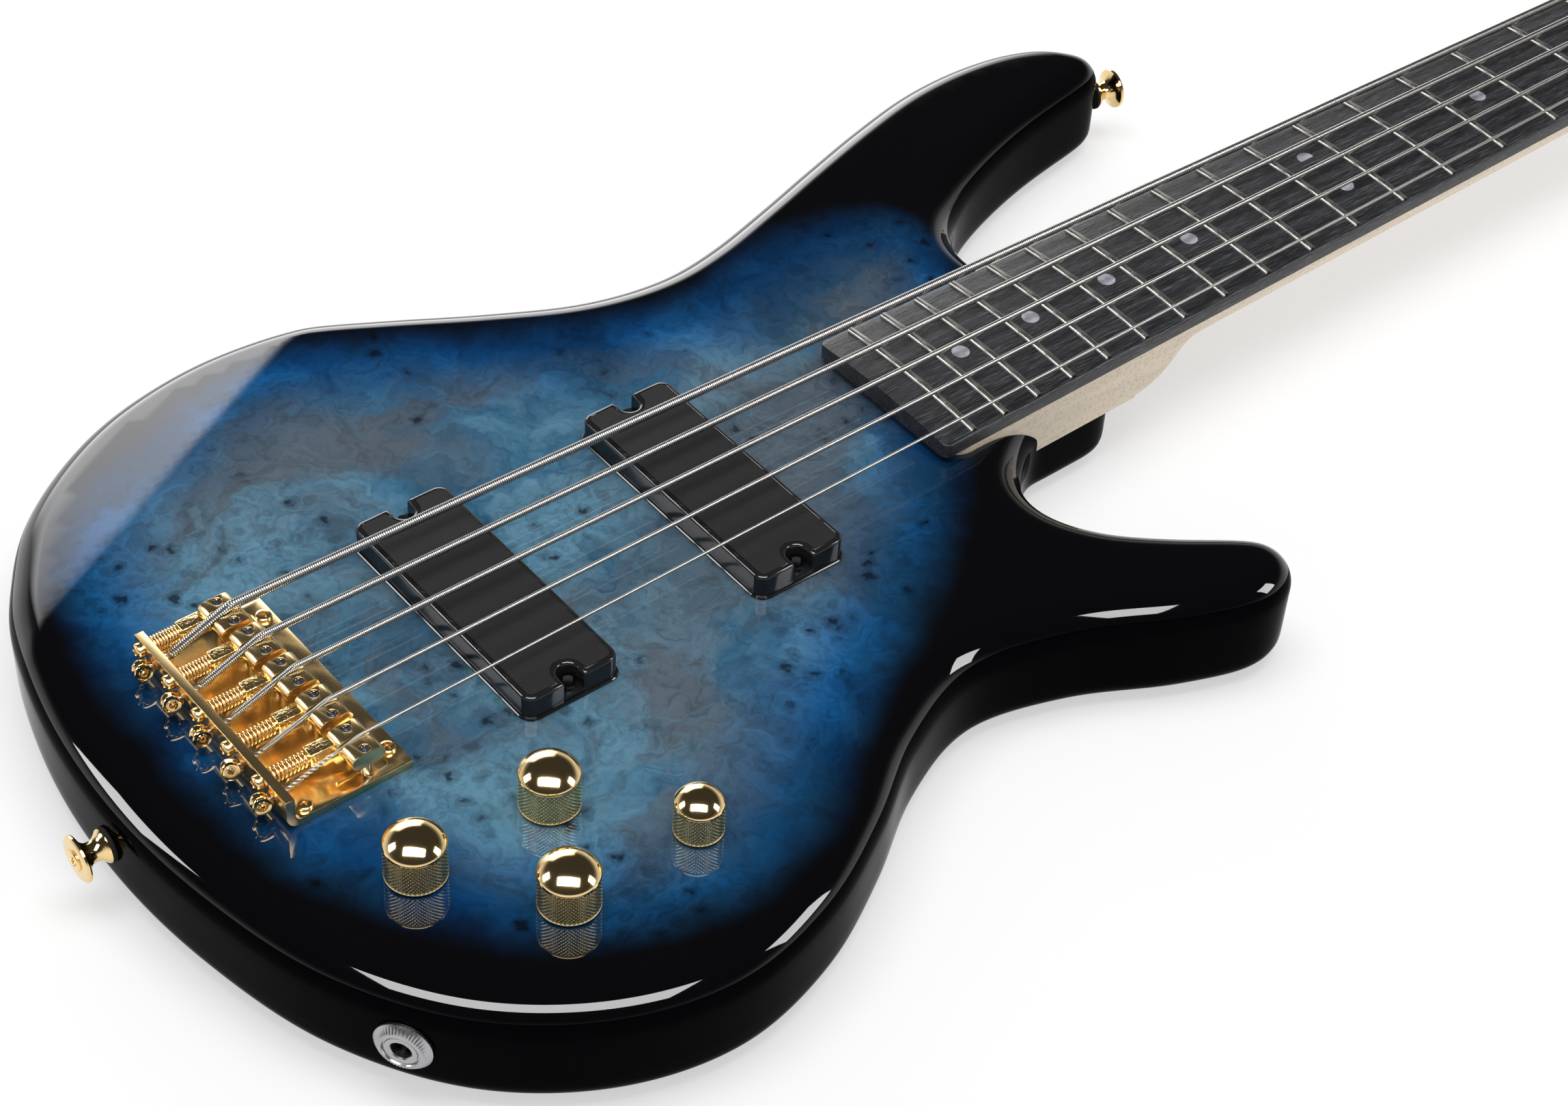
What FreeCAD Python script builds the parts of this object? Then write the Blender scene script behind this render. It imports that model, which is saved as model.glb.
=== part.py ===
import FreeCAD, Part
import math
import os

# Five-string bass guitar lying on its back, in millimetres.
# X runs along the neck towards the headstock, Y towards the upper horn, Z out of the body's top.
# The origin is on the body's back face, under the middle of the line where the string scale ends.

os.makedirs("parts", exist_ok=True)
V = FreeCAD.Vector
ALONG = V(1, 0, 0)
ACROSS = V(0, 1, 0)
UP = V(0, 0, 1)

# Clearances and cutting
overrun = 5.0
running_clearance = 0.05
fit_clearance = 0.15
seat_gap = 0.1
touch_tolerance = 0.001
fastener_sides = 8
ring_sides = 16
gap_samples = 48

# Scale, board and frets
scale_length = 864.0
octave_frets = 12
fret_count = 22
nut_width = 45.0
last_fret_width = 67.0
board_radius = 305.0
board_thickness = 7.0
board_past_last_fret = 13.3
board_end_corner = 6.0
fret_crown_width = 2.6
fret_crown_height = 1.1
fret_crown_shares = ((-0.5, 0.0), (-0.24, 1.0), (0.24, 1.0), (0.5, 0.0))
fret_tang_width = 0.6
fret_tang_depth = 2.0
fret_end_inset = 0.8
dot_radius = 3.25
dot_depth = 1.5
single_dot_fret_numbers = (3, 5, 7, 9, 15, 17, 19, 21)
double_dot_fret_number = 12
double_dot_spread = 20.5

# Strings, from the thickest to the thinnest
string_names = ("b", "e", "a", "d", "g")
string_diameters = (3.30, 2.54, 2.16, 1.65, 1.14)
string_compensations = (4.6, 3.7, 2.7, 1.7, 1.3)
bridge_string_spacing = 16.8
nut_string_spacing = 9.2
string_bottom_at_saddles = 14.25
string_bottom_tilt = 0.55
saddle_arch_radius = 700.0
string_above_first_fret = 0.5
string_bend_radius = 9.0
string_end_gap = 0.2
string_sides = 4

# Body
body_thickness = 39.0
body_edge_radius = 8.5
edge_wall_share = 0.85
body_half_width = 164.0
body_past_saddles = 70.0
heel_past_board_end = 86.0
heel_corner_radius = 12.0
heel_side_length = 43.0
heel_slope_run = 13.0
heel_slope_rise = 17.0
lower_horn_short_of_heel = 19.0
upper_horn_past_heel = 122.0
burl_thickness = 4.0
bevel_front_x = 100.0
bevel_front_y = 151.0
bevel_rear_x = -56.0
bevel_rear_y = 78.0
bevel_angle = 10.5

# Body outline as shares: along, from the rear to the horn's tip, and across, of the half width
bass_side_shares = (
    (0.758, 0.299), (0.763, 0.366), (0.779, 0.433), (0.805, 0.488), (0.834, 0.530),
    (0.874, 0.573), (0.909, 0.602), (0.941, 0.622), (0.968, 0.637), (0.983, 0.648),
    (0.9935, 0.666), (0.9994, 0.697), (0.9994, 0.733), (0.9935, 0.765), (0.976, 0.820),
    (0.945, 0.860), (0.899, 0.878), (0.846, 0.868), (0.789, 0.828), (0.726, 0.771),
    (0.665, 0.713), (0.6075, 0.667), (0.560, 0.652), (0.503, 0.683), (0.442, 0.768),
    (0.383, 0.869), (0.337, 0.945), (0.304, 0.985), (0.2564, 1.012), (0.209, 1.003),
    (0.165, 0.965), (0.118, 0.882), (0.082, 0.784), (0.055, 0.667), (0.032, 0.537),
    (0.008, 0.274))
treble_side_shares = (
    (0.011, -0.274), (0.046, -0.561), (0.115, -0.799), (0.210, -0.948), (0.311, -1.0),
    (0.413, -0.954), (0.503, -0.851), (0.585, -0.732), (0.680, -0.659), (0.776, -0.707),
    (0.872, -0.814), (0.945, -0.866), (0.980, -0.848), (0.995, -0.816), (1.0, -0.774),
    (0.995, -0.731), (0.981, -0.698), (0.929, -0.604), (0.885, -0.500), (0.866, -0.396),
    (0.876, -0.305))

# Neck and its joint
neck_above_top = 2.4
heel_thickness = 19.5
neck_depth_first_fret = 14.0
neck_depth_octave = 16.5
heel_past_body = 6.0
heel_blend_length = 26.0
heel_blend_shares = ((0.0, 1.0), (0.25, 0.93), (0.5, 0.62), (0.75, 0.22), (1.0, 0.0))
heel_squareness = 9.0
round_squareness = 2.1
head_squareness = 5.0
head_blend_length = 14.0
neck_section_turns = (0, 26, 52, 90, 128, 154, 180)
pocket_behind_fret = 10.4
pocket_corner_radius = 9.0
channel_width = 6.3
channel_depth = 9.0
truss_rod_radius = 3.0
truss_rod_from_heel = 12.0
truss_bar_height = 2.4
truss_block_length = 8.0
truss_nut_radius = 4.0
truss_nut_length = 11.0
truss_nut_past_board = 7.0
bolt_rows = (20.0, 62.0)
bolt_spread = 19.0
bolt_radius = 2.4
bolt_head_radius = 4.2
bolt_head_height = 2.6
bolt_bite = 13.0
ferrule_radius = 7.0
ferrule_height = 4.2
ferrule_wall = 1.0

# Nut
nut_thickness = 4.5
nut_rise = 2.8
nut_slot_clearance = 0.1
nut_break = 1.5

# Headstock, in its own frame: its face is level with the board's underside at the nut
head_tilt = 5.0
head_length = 186.0
head_half_width = 40.0
head_thickness = 12.5
veneer_thickness = 1.5
head_upper_shares = ((0.10, 0.72), (0.22, 1.0), (0.45, 0.97), (0.72, 0.85), (0.90, 0.68),
                     (0.985, 0.40))
head_lower_shares = ((1.0, 0.06), (0.97, -0.30), (0.88, -0.62), (0.70, -0.81), (0.45, -0.94),
                     (0.22, -1.0), (0.10, -0.72))
truss_cover_length = 30.0
truss_cover_half_width = 12.0
truss_cover_thickness = 2.0
truss_cover_gap = 1.5
truss_pocket_width = 11.0
truss_pocket_length = 20.0
truss_pocket_depth = 10.6
head_edge_chamfer = 1.2

# Tuners: distance from the nut, offset from the middle, and side, one for each string
tuner_distances = (44.0, 94.0, 144.0, 119.0, 69.0)
tuner_offsets = (27.0, 24.0, 20.0, -21.0, -26.0)
post_radius = 4.75
post_height = 19.0
post_waist_radius = 4.1
post_waist_low = 2.4
post_waist_high = 14.0
post_slot_width = 3.6
post_slot_depth = 4.0
gear_radius = 5.2
gear_thickness = 4.0
gear_below_top = 3.4
bushing_flange_radius = 8.5
bushing_flange_thickness = 1.2
bushing_radius = 6.3
housing_depth = 11.0
housing_width = 22.0
housing_inner_reach = 9.0
housing_outer_reach = 12.0
housing_offset = 2.5
housing_chamfer = 1.6
worm_radius = 2.2
worm_length = 9.0
mesh_gap = 0.3
key_shaft_radius = 1.9
key_button_gap = 4.5
key_button_length = 20.0
key_button_width = 16.0
key_button_thickness = 5.6
key_collar_radius = 3.2
key_button_shares = ((0.0, -0.4), (0.25, -0.86), (0.55, -1.0), (0.85, -0.78), (1.0, -0.36),
                     (1.0, 0.36), (0.85, 0.78), (0.55, 1.0), (0.25, 0.86), (0.0, 0.4))
winding_turns = 1.25
winding_low = 3.0
winding_gap = 0.55
winding_clearance = 0.12

# Bridge
plate_front = 10.6
plate_half_width = 42.8
plate_thickness = 2.8
plate_edge_chamfer = 0.7
wall_inner_x = -30.0
wall_thickness = 3.0
wall_height = 12.0
wall_bend_radius = 2.0
channel_floor_width = 12.4
channel_floor_depth = 0.8
channel_floor_front = 4.4
channel_floor_rear = -26.0
land_slot_width = 2.2
land_slot_front = -9.0
land_slot_rear = -17.0
string_hole_height = 6.0
string_hole_radius = 2.1
string_rise_gap = 1.0
intonation_height = 9.0
intonation_offset = 5.2
saddle_width = 14.4
saddle_front_reach = 4.0
saddle_rear_reach = 7.6
saddle_height = 5.6
saddle_profile_shares = ((0.36, 0.0), (-0.36, 0.0), (-0.46, -0.16), (-0.5, -0.5), (-0.46, -0.84),
                         (-0.36, -1.0), (0.36, -1.0), (0.46, -0.84), (0.5, -0.5), (0.46, -0.16))
saddle_over_string = 0.3
saddle_groove_clearance = 0.25
saddle_travel = 3.0
boss_radius = 2.6
boss_length = 8.0
boss_root = 3.0
height_screw_radius = 1.75
height_screw_offset = 5.0
height_screw_point_radius = 1.1
height_screw_below_top = 0.7
height_screw_socket_radius = 0.95
height_screw_socket_depth = 1.6
intonation_screw_radius = 1.5
intonation_head_radius = 2.4
intonation_head_height = 2.2
bore_floor_to_screw = 0.6
spring_radius = 2.25
spring_wire_radius = 0.32
spring_turns = 4
spring_sides = 3
spring_end_gap = 0.06
ball_radius = 2.9
ball_height = 4.4
ball_hole_radius = 1.1
bridge_screw_front_x = 7.0
bridge_screw_rear_x = -25.0
bridge_screw_front_y = 34.6
bridge_screw_rear_y = 39.3
bridge_screw_head_radius = 2.7
bridge_screw_head_height = 1.8
wood_screw_radius = 1.6
bridge_screw_length = 18.0

# Pickups
pickup_positions = (156.0, 66.0)
pickup_names = ("neck", "bridge")
pickup_length = 97.0
pickup_width = 35.0
pickup_rise = 9.0
pickup_sink = 12.0
pickup_corner_radius = 4.0
pickup_edge_chamfer = 1.0
pickup_wall = 1.6
pickup_end_wall = 11.0
pickup_flange = 0.9
pickup_flange_thickness = 0.7
pickup_notch_radius = 3.6
pickup_notch_depth = 7.4
pickup_ledge_height = 2.6
pickup_cavity_depth = 19.0
pickup_cavity_clearance = 0.3
pickup_screw_head_radius = 2.7
pickup_screw_head_height = 1.9
pickup_screw_radius = 1.5
pickup_screw_bite = 5.0
coil_length = 70.0
coil_width = 26.0
coil_height = 13.0
magnet_length = 54.0
magnet_width = 11.0

# Controls, as places of the knobs: two large in front, one large and one small nearer the edge
knob_names = ("volume", "balance", "treble", "bass")
knob_places = ((34.8, -78.8), (-12.0, -78.0), (17.0, -113.2), (64.0, -113.0))
knob_radii = (9.6, 9.6, 9.6, 7.8)
knob_heights = (18.0, 18.0, 18.0, 16.0)
knob_gap = 0.6
knob_rim_height = 1.8
knob_rim_step = 0.5
knob_shoulder_share = 0.84
knob_shoulder_radius_share = 0.90
knob_top_wall = 3.0
knob_socket_radius = 6.4
knob_socket_depth = 3.4
shaft_radius = 3.0
pot_radius = 8.5
pot_height = 9.0
pot_bushing_radius = 3.6
pot_bushing_rise = 2.6
pot_nut_radius = 5.2
pot_nut_height = 1.8
cavity_ceiling = 8.0
cavity_reach = 17.0
cover_reach = 22.5
cover_thickness = 2.0
cover_screw_seat = 1.1
cover_screw_head_radius = 2.1
cover_screw_head_height = 0.9
cover_screw_length = 9.0
cover_screw_radius = 1.2
battery_length = 48.5
battery_width = 26.5
battery_height = 17.0
battery_x = 24.0
battery_y = -97.0
battery_post_radius = 2.8
battery_post_height = 1.4
battery_post_spread = 6.4

# Output jack, in the side wall
jack_x_share = 0.0564
jack_y_share = -0.6976
jack_turn = 213.0
jack_height = 19.4
jack_bore_radius = 3.2
jack_barrel_radius = 5.6
jack_barrel_length = 30.0
jack_floor = 2.0
jack_flange_radius = 9.2
jack_flange_thickness = 1.8
jack_dome_radius = 6.8
jack_dome_height = 1.2
jack_inset = 30.0

# Strap buttons
strap_disc_radius = 7.8
strap_stem_radius = 3.4
strap_flange_radius = 5.4
strap_height = 10.0
strap_washer_radius = 5.9
strap_washer_thickness = 1.2
strap_screw_head_radius = 3.6
strap_screw_head_height = 1.6
strap_screw_length = 24.0
strap_screw_radius = 1.8
horn_button_turn = -9.0
horn_button_x_share = 0.9
horn_button_y_share = 0.75

# Levels and stations that follow from the sizes above
board_bottom = body_thickness + neck_above_top
crown = board_bottom + board_thickness
pocket_floor = board_bottom - heel_thickness


def fret_distance(number):
    return scale_length * (1 - 2 ** (-number / octave_frets))


def board_half_width(x):
    share = (scale_length - x) / fret_distance(fret_count)
    return (nut_width + (last_fret_width - nut_width) * share) / 2


last_fret_x = scale_length - fret_distance(fret_count)
board_end = last_fret_x - board_past_last_fret
heel_front = board_end + heel_past_board_end
pocket_end = last_fret_x - pocket_behind_fret
neck_block_end = heel_front + heel_past_body
body_rear = -body_past_saddles
lower_tip = heel_front - lower_horn_short_of_heel
upper_tip = heel_front + upper_horn_past_heel
nut_rear = scale_length + nut_thickness
wall_outer_x = wall_inner_x - wall_thickness
plate_top = body_thickness + plate_thickness
plate_channel_floor = plate_top - channel_floor_depth
head_place = FreeCAD.Placement(V(nut_rear, 0, board_bottom), FreeCAD.Rotation(ACROSS, head_tilt))
head_back = -(head_thickness + veneer_thickness)
key_axis_z = head_back - gear_below_top - gear_thickness / 2
worm_offset = gear_radius + worm_radius + mesh_gap


# Shape helpers
def block(x0, x1, y0, y1, z0, z1):
    return Part.makeBox(x1 - x0, y1 - y0, z1 - z0, V(x0, y0, z0))


def rod(radius, start, end):
    return Part.makeCylinder(radius, (end - start).Length, start, end - start)


def prism(wire, bottom, top):
    face = Part.Face(wire)
    face.translate(V(0, 0, bottom))
    return face.extrude(V(0, 0, top - bottom))


def rounded_block(x0, x1, y0, y1, z0, z1, radius):
    solid = block(x0, x1, y0, y1, z0, z1)
    upright = [edge for edge in solid.Edges if abs(edge.tangentAt(edge.FirstParameter).z) > 0.9]
    return solid.makeFillet(radius, upright)


def polygon(points):
    return Part.makePolygon(list(points) + [points[0]])


def spun(points):
    """Solid of revolution about Z of a closed profile in the XZ plane."""
    return Part.Face(polygon([V(x, 0, z) for x, z in points])).revolve(V(0, 0, 0), UP, 360)


def placed(shape, position, direction):
    """Turn a shape built along +Z so that it points along a direction, at a position."""
    turned = shape.copy()
    place = FreeCAD.Placement(position, FreeCAD.Rotation(UP, direction))
    turned.Placement = place.multiply(shape.Placement)
    return turned


def in_head(shape):
    moved = shape.copy()
    moved.Placement = head_place.multiply(moved.Placement)
    return moved


def cut_all(shape, tools):
    return shape.cut(tools)


def save(name, shapes):
    solids = []
    for shape in shapes:
        solids.extend(shape.Solids)
    result = solids[0] if len(solids) == 1 else Part.makeCompound(solids)
    result.exportStep("parts/" + name + ".step")
    return result


# Tubes that follow a path of straight runs and tangent arcs
def unit(vector):
    return vector * (1 / vector.Length)


def arc_from(start, direction, end):
    """Arc that leaves start along a direction and ends at end, or a line where it is straight."""
    chord = end - start
    outward = unit(direction) - unit(chord) * unit(direction).dot(unit(chord))
    if outward.Length < 1e-6:
        return Part.LineSegment(start, end).toShape()
    angle = math.asin(min(1, outward.Length))
    middle = (start + end) * 0.5 + unit(outward) * (chord.Length / 2 * math.tan(angle / 2))
    return Part.Arc(start, middle, end).toShape()


def biarc(start, start_direction, end, end_direction):
    """Two arcs that join two points and keep both directions."""
    chord = end - start
    both = start_direction + end_direction
    spread = 2 * (1 - start_direction.dot(end_direction))
    pull = 2 * chord.dot(both)
    square = chord.dot(chord)
    if spread < 1e-9:
        reach = square / pull
    else:
        reach = (-pull + math.sqrt(pull * pull + 4 * spread * square)) / (2 * spread)
    first = start + start_direction * reach
    second = end - end_direction * reach
    joint = (first + second) * 0.5
    return [arc_from(start, start_direction, joint),
            arc_from(joint, unit(second - first), end)]


def regular_wire(centre, direction, radius, sides):
    side_way = unit(direction.cross(UP if abs(unit(direction).z) < 0.9 else ALONG))
    up_way = unit(side_way.cross(direction))
    corners = []
    for index in range(sides):
        angle = 2 * math.pi * index / sides
        corners.append(centre + side_way * (radius * math.cos(angle))
                       + up_way * (radius * math.sin(angle)))
    return polygon(corners)


def tube(edges, start, direction, radius, sides):
    shell = Part.BRepOffsetAPI.MakePipeShell(Part.Wire(edges))
    shell.add(regular_wire(start, direction, radius, sides))
    shell.build()
    shell.makeSolid()
    return shell.shape()


def corner_points(before, corner, after, radius):
    """Start and end of the arc that rounds a corner of a path."""
    towards = unit(corner - before)
    away = unit(after - corner)
    turn = towards.getAngle(away)
    reach = radius * math.tan(turn / 2)
    return corner - towards * reach, corner + away * reach


def least_gap(points, per_turn, wire_diameter):
    """Least clear distance between turns of a wound wire, measured on its sampled centre line."""
    least = None
    for index, point in enumerate(points):
        for other in points[index + per_turn // 2:]:
            distance = (point - other).Length
            if least is None or distance < least:
                least = distance
    return least - wire_diameter


# Many-sided rods, and fasteners built along +Z with the head's seat at zero
def stud(radius, bottom, top, sides):
    corners = []
    for index in range(sides):
        angle = 2 * math.pi * index / sides
        corners.append(V(radius * math.cos(angle), radius * math.sin(angle), 0))
    return prism(polygon(corners), bottom, top)


def around(radius, bottom, top, sides):
    """Many-sided rod whose flats lie at a radius, for holes that clear a round piece."""
    return stud(radius / math.cos(math.pi / sides), bottom, top, sides)


def screw(head_radius, head_height, shank_radius, length):
    head = stud(head_radius, 0, head_height, fastener_sides)
    return head.fuse(stud(shank_radius, -length, 0, fastener_sides)).removeSplitter()


def screw_hole(shank_radius, length):
    return stud(shank_radius + running_clearance, -length - seat_gap, overrun, fastener_sides)


# Body
def smooth_path(points):
    """Tangent arcs through points, with the directions of a smooth curve through them."""
    curve = Part.BSplineCurve()
    curve.interpolate(Points=points)
    ways = [curve.tangent(curve.parameter(point))[0] for point in points]
    edges = []
    for index in range(len(points) - 1):
        edges += biarc(points[index], ways[index], points[index + 1], ways[index + 1])
    return edges, ways[0], ways[-1]


def body_outline():
    points = []
    for along, across in bass_side_shares:
        points.append(V(body_rear + along * (upper_tip - body_rear), across * body_half_width, 0))
    points.append(V(body_rear, 0, 0))
    for along, across in treble_side_shares:
        points.append(V(body_rear + along * (lower_tip - body_rear), across * body_half_width, 0))
    sweep, first_way, last_way = smooth_path(points)
    side_start_x = heel_front - heel_side_length
    side_start = V(side_start_x, -board_half_width(side_start_x), 0)
    corner_x = heel_front - heel_corner_radius
    side_end = V(corner_x, -board_half_width(corner_x), 0)
    side_way = unit(side_end - side_start)
    front_low = V(heel_front, side_end.y + heel_corner_radius, 0)
    front_high = V(heel_front, board_half_width(heel_front) / 2, 0)
    edges = biarc(points[-1], last_way, side_start, side_way)
    edges.append(Part.LineSegment(side_start, side_end).toShape())
    edges += biarc(side_end, side_way, front_low, ACROSS)
    edges.append(Part.LineSegment(front_low, front_high).toShape())
    edges += biarc(front_high, ACROSS, points[0], first_way)
    return Part.Wire(edges + sweep)


def rounded_body():
    outline = body_outline()
    tightest = min(edge.Curve.Radius for edge in outline.Edges if hasattr(edge.Curve, "Radius"))
    radius = min(body_edge_radius, tightest * edge_wall_share)
    solid = prism(outline, 0, body_thickness)
    rims = []
    for edge in solid.Edges:
        box = edge.BoundBox
        if box.ZLength < seat_gap and (box.ZMin < seat_gap or box.ZMax > body_thickness - seat_gap):
            rims.append(edge)
    return solid.makeFillet(radius, rims)


def forearm_bevel():
    front = V(bevel_front_x, bevel_front_y, body_thickness)
    rear = V(bevel_rear_x, bevel_rear_y, body_thickness)
    crease = unit(front - rear)
    reach = body_half_width
    tool = block(-reach, reach * 2, 0, reach, 0, reach)
    tool.rotate(V(0, 0, 0), ALONG, -bevel_angle)
    tool.rotate(V(0, 0, 0), UP, math.degrees(math.atan2(crease.y, crease.x)))
    tool.translate(rear)
    return tool


def heel_slope():
    """Wedge that slants the heel's front back towards the body's back face."""
    side = last_fret_width
    points = [V(heel_front + overrun, -side, -overrun),
              V(heel_front + overrun, -side, heel_slope_rise + overrun),
              V(heel_front, -side, heel_slope_rise),
              V(heel_front - heel_slope_run, -side, 0),
              V(heel_front - heel_slope_run, -side, -overrun)]
    return Part.Face(polygon(points)).extrude(V(0, side + board_half_width(heel_front), 0))


def neck_plan(start, end, clearance):
    half_start = board_half_width(start) + clearance
    half_end = board_half_width(end) + clearance
    points = [V(start, -half_start, 0), V(end, -half_end, 0),
              V(end, half_end, 0), V(start, half_start, 0)]
    return polygon(points)


def rounded_heel(start, end, bottom, top, clearance):
    solid = prism(neck_plan(start, end, clearance), bottom, top)
    corners = []
    for edge in solid.Edges:
        if edge.BoundBox.ZLength > (top - bottom) / 2 and edge.BoundBox.XMax < start + seat_gap:
            corners.append(edge)
    return solid.makeFillet(pocket_corner_radius, corners)


def belt(places, radius, bottom, top):
    """Prism whose outline goes round circles at the given places, in counter-clockwise order."""
    edges = []
    count = len(places)
    for index in range(count):
        before = V(*places[index - 1], 0)
        here = V(*places[index], 0)
        after = V(*places[(index + 1) % count], 0)
        way_in = unit(here - before)
        way_out = unit(after - here)
        out_in = V(way_in.y, -way_in.x, 0)
        out_out = V(way_out.y, -way_out.x, 0)
        middle = unit(out_in + out_out)
        edges.append(Part.Arc(here + out_in * radius, here + middle * radius,
                              here + out_out * radius).toShape())
        edges.append(Part.LineSegment(here + out_out * radius, after + out_out * radius).toShape())
    return prism(Part.Wire(edges), bottom, top)


knob_ring = (knob_places[0], knob_places[1], knob_places[2], knob_places[3])
cover_screw_spots = []
for spot in range(len(knob_ring)):
    first_place = V(*knob_ring[spot], 0)
    second_place = V(*knob_ring[(spot + 1) % len(knob_ring)], 0)
    run_way = unit(second_place - first_place)
    out_way = V(run_way.y, -run_way.x, 0)
    reach_out = (cavity_reach + cover_reach) / 2
    middle_place = (first_place + second_place) * 0.5 + out_way * reach_out
    cover_screw_spots.append(middle_place + UP * cover_screw_seat)

bolt_spots = []
for row in bolt_rows:
    for side in (-1, 1):
        bolt_spots.append(V(pocket_end + row, side * bolt_spread, 0))

bridge_screw_spots = []
for side in (-1, 1):
    bridge_screw_spots.append(V(bridge_screw_front_x, side * bridge_screw_front_y, plate_top))
    bridge_screw_spots.append(V(bridge_screw_rear_x, side * bridge_screw_rear_y, plate_top))

pickup_screw_y = pickup_length / 2 - pickup_notch_depth + pickup_notch_radius
pickup_screw_spots = []
for pickup_x in pickup_positions:
    for side in (-1, 1):
        pickup_screw_spots.append(V(pickup_x, side * pickup_screw_y,
                                    body_thickness + pickup_ledge_height))
pickup_screw_length = pickup_ledge_height + pickup_cavity_depth + pickup_screw_bite

horn_way = V(math.cos(math.radians(horn_button_turn)), math.sin(math.radians(horn_button_turn)), 0)


def wall_point(solid, start, direction):
    """Point where a line from outside, against a direction, first meets a solid."""
    line = Part.LineSegment(start + direction * body_half_width, start).toShape()
    inside = line.common(solid)
    furthest = max(inside.Vertexes, key=lambda vertex: vertex.Point.dot(direction))
    return furthest.Point


def strap_spots(solid):
    rear = wall_point(solid, V(0, 0, body_thickness / 2), -ALONG)
    horn_start = V(body_rear + horn_button_x_share * (upper_tip - body_rear),
                   horn_button_y_share * body_half_width, body_thickness / 2)
    horn = wall_point(solid, horn_start, horn_way)
    return ((rear, -ALONG), (horn, horn_way))


def wall_way(solid, point):
    """Direction in which a solid's side wall faces at a point on it."""
    for face in solid.Faces:
        if face.distToShape(Part.Vertex(point))[0] < touch_tolerance:
            along, across = face.Surface.parameter(point)
            return unit(face.normalAt(along, across))


def jack_spot(solid):
    """Mouth of the output jack, and the direction that it faces, square to the wall."""
    place = V(body_rear + jack_x_share * (upper_tip - body_rear), jack_y_share * body_half_width,
              jack_height)
    way = V(math.cos(math.radians(jack_turn)), math.sin(math.radians(jack_turn)), 0)
    mouth = wall_point(solid, place - way * jack_inset, way)
    return mouth, wall_way(solid, mouth)


def body_and_top():
    solid = rounded_body()
    spots = strap_spots(solid)
    jack_mouth, jack_way = jack_spot(solid)
    heel = rounded_heel(pocket_end - fit_clearance, neck_block_end + overrun, pocket_floor,
                        crown + overrun, fit_clearance)
    tools = [forearm_bevel(), heel_slope(), heel]
    for x in pickup_positions:
        half_x = pickup_width / 2 + pickup_cavity_clearance
        half_y = pickup_length / 2 + pickup_cavity_clearance
        tools.append(rounded_block(x - half_x, x + half_x, -half_y, half_y,
                                   body_thickness - pickup_cavity_depth, body_thickness + overrun,
                                   pickup_corner_radius))
    tools.append(belt(knob_ring, cavity_reach, 0, body_thickness - cavity_ceiling))
    tools.append(belt(knob_ring, cover_reach, -overrun, cover_thickness))
    for x, y in knob_places:
        tools.append(placed(stud(pot_bushing_radius + running_clearance, 0,
                                 body_thickness + overrun, ring_sides), V(x, y, 0), UP))
    for spot in bolt_spots:
        tools.append(placed(stud(bolt_radius + running_clearance, -overrun,
                                 pocket_floor + overrun, fastener_sides), spot, UP))
        tools.append(placed(stud(ferrule_radius + running_clearance, -overrun, ferrule_height,
                                 ring_sides), spot, UP))
    for spot in bridge_screw_spots:
        tools.append(placed(screw_hole(wood_screw_radius, bridge_screw_length), spot, UP))
    for spot in pickup_screw_spots:
        tools.append(placed(screw_hole(pickup_screw_radius, pickup_screw_length), spot, UP))
    for spot in cover_screw_spots:
        tools.append(placed(screw_hole(cover_screw_radius, cover_screw_length), spot, -UP))
    tools.append(placed(stud(jack_barrel_radius + running_clearance,
                             -jack_barrel_length - seat_gap, overrun, ring_sides),
                        jack_mouth, jack_way))
    for spot, way in spots:
        tools.append(placed(screw_hole(strap_screw_radius, strap_screw_length), spot, way))
    solid = cut_all(solid, tools)
    seam = body_thickness - burl_thickness
    reach = body_half_width * 2
    slab = block(body_rear - reach, upper_tip + reach, -reach, reach, seam, body_thickness + reach)
    return solid.cut(slab), solid.common(slab), spots, (jack_mouth, jack_way)


# Neck
def neck_section(x, depth, squareness):
    """Closed section of the neck: flat on top, and a half oval that can be nearly square."""
    half = board_half_width(x)
    power = 2 / squareness
    points = []
    for turn in neck_section_turns:
        share = math.cos(math.radians(turn))
        side = math.copysign(abs(share) ** power, share)
        drop = math.sin(math.radians(turn)) ** power if 0 < turn < 180 else 0
        points.append(V(x, half * side, board_bottom - depth * drop))
    edges = []
    for index in range(0, len(points) - 2, 2):
        edges.append(Part.Arc(*points[index:index + 3]).toShape())
    edges.append(Part.LineSegment(points[-1], points[0]).toShape())
    return Part.Wire(edges)


def shaft_depth(x):
    first_x = scale_length - fret_distance(1)
    octave_x = scale_length - fret_distance(octave_frets)
    slope = (neck_depth_octave - neck_depth_first_fret) / (first_x - octave_x)
    return neck_depth_first_fret + slope * (first_x - x)


def head_outline():
    half = board_half_width(nut_rear)
    points = []
    for along, across in head_upper_shares + head_lower_shares:
        points.append(V(along * head_length, across * head_half_width, 0))
    sweep, first_way, last_way = smooth_path(points)
    start = V(0, half, 0)
    end = V(0, -half, 0)
    return Part.Wire(biarc(start, ALONG, points[0], first_way) + sweep
                     + biarc(points[-1], last_way, end, -ALONG)
                     + [Part.LineSegment(end, start).toShape()])


def post_spots():
    return [V(distance, offset, 0) for distance, offset in zip(tuner_distances, tuner_offsets)]


def bushing_holes():
    return [placed(stud(bushing_radius + running_clearance, head_back - overrun, overrun,
                        ring_sides), spot, UP) for spot in post_spots()]


def truss_pocket():
    return block(-overrun, truss_pocket_length, -truss_pocket_width / 2, truss_pocket_width / 2,
                 -truss_pocket_depth, overrun)


def truss_cover_holes():
    return [placed(screw_hole(cover_screw_radius, cover_screw_length), spot, UP)
            for spot in truss_cover_screw_spots]


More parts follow.
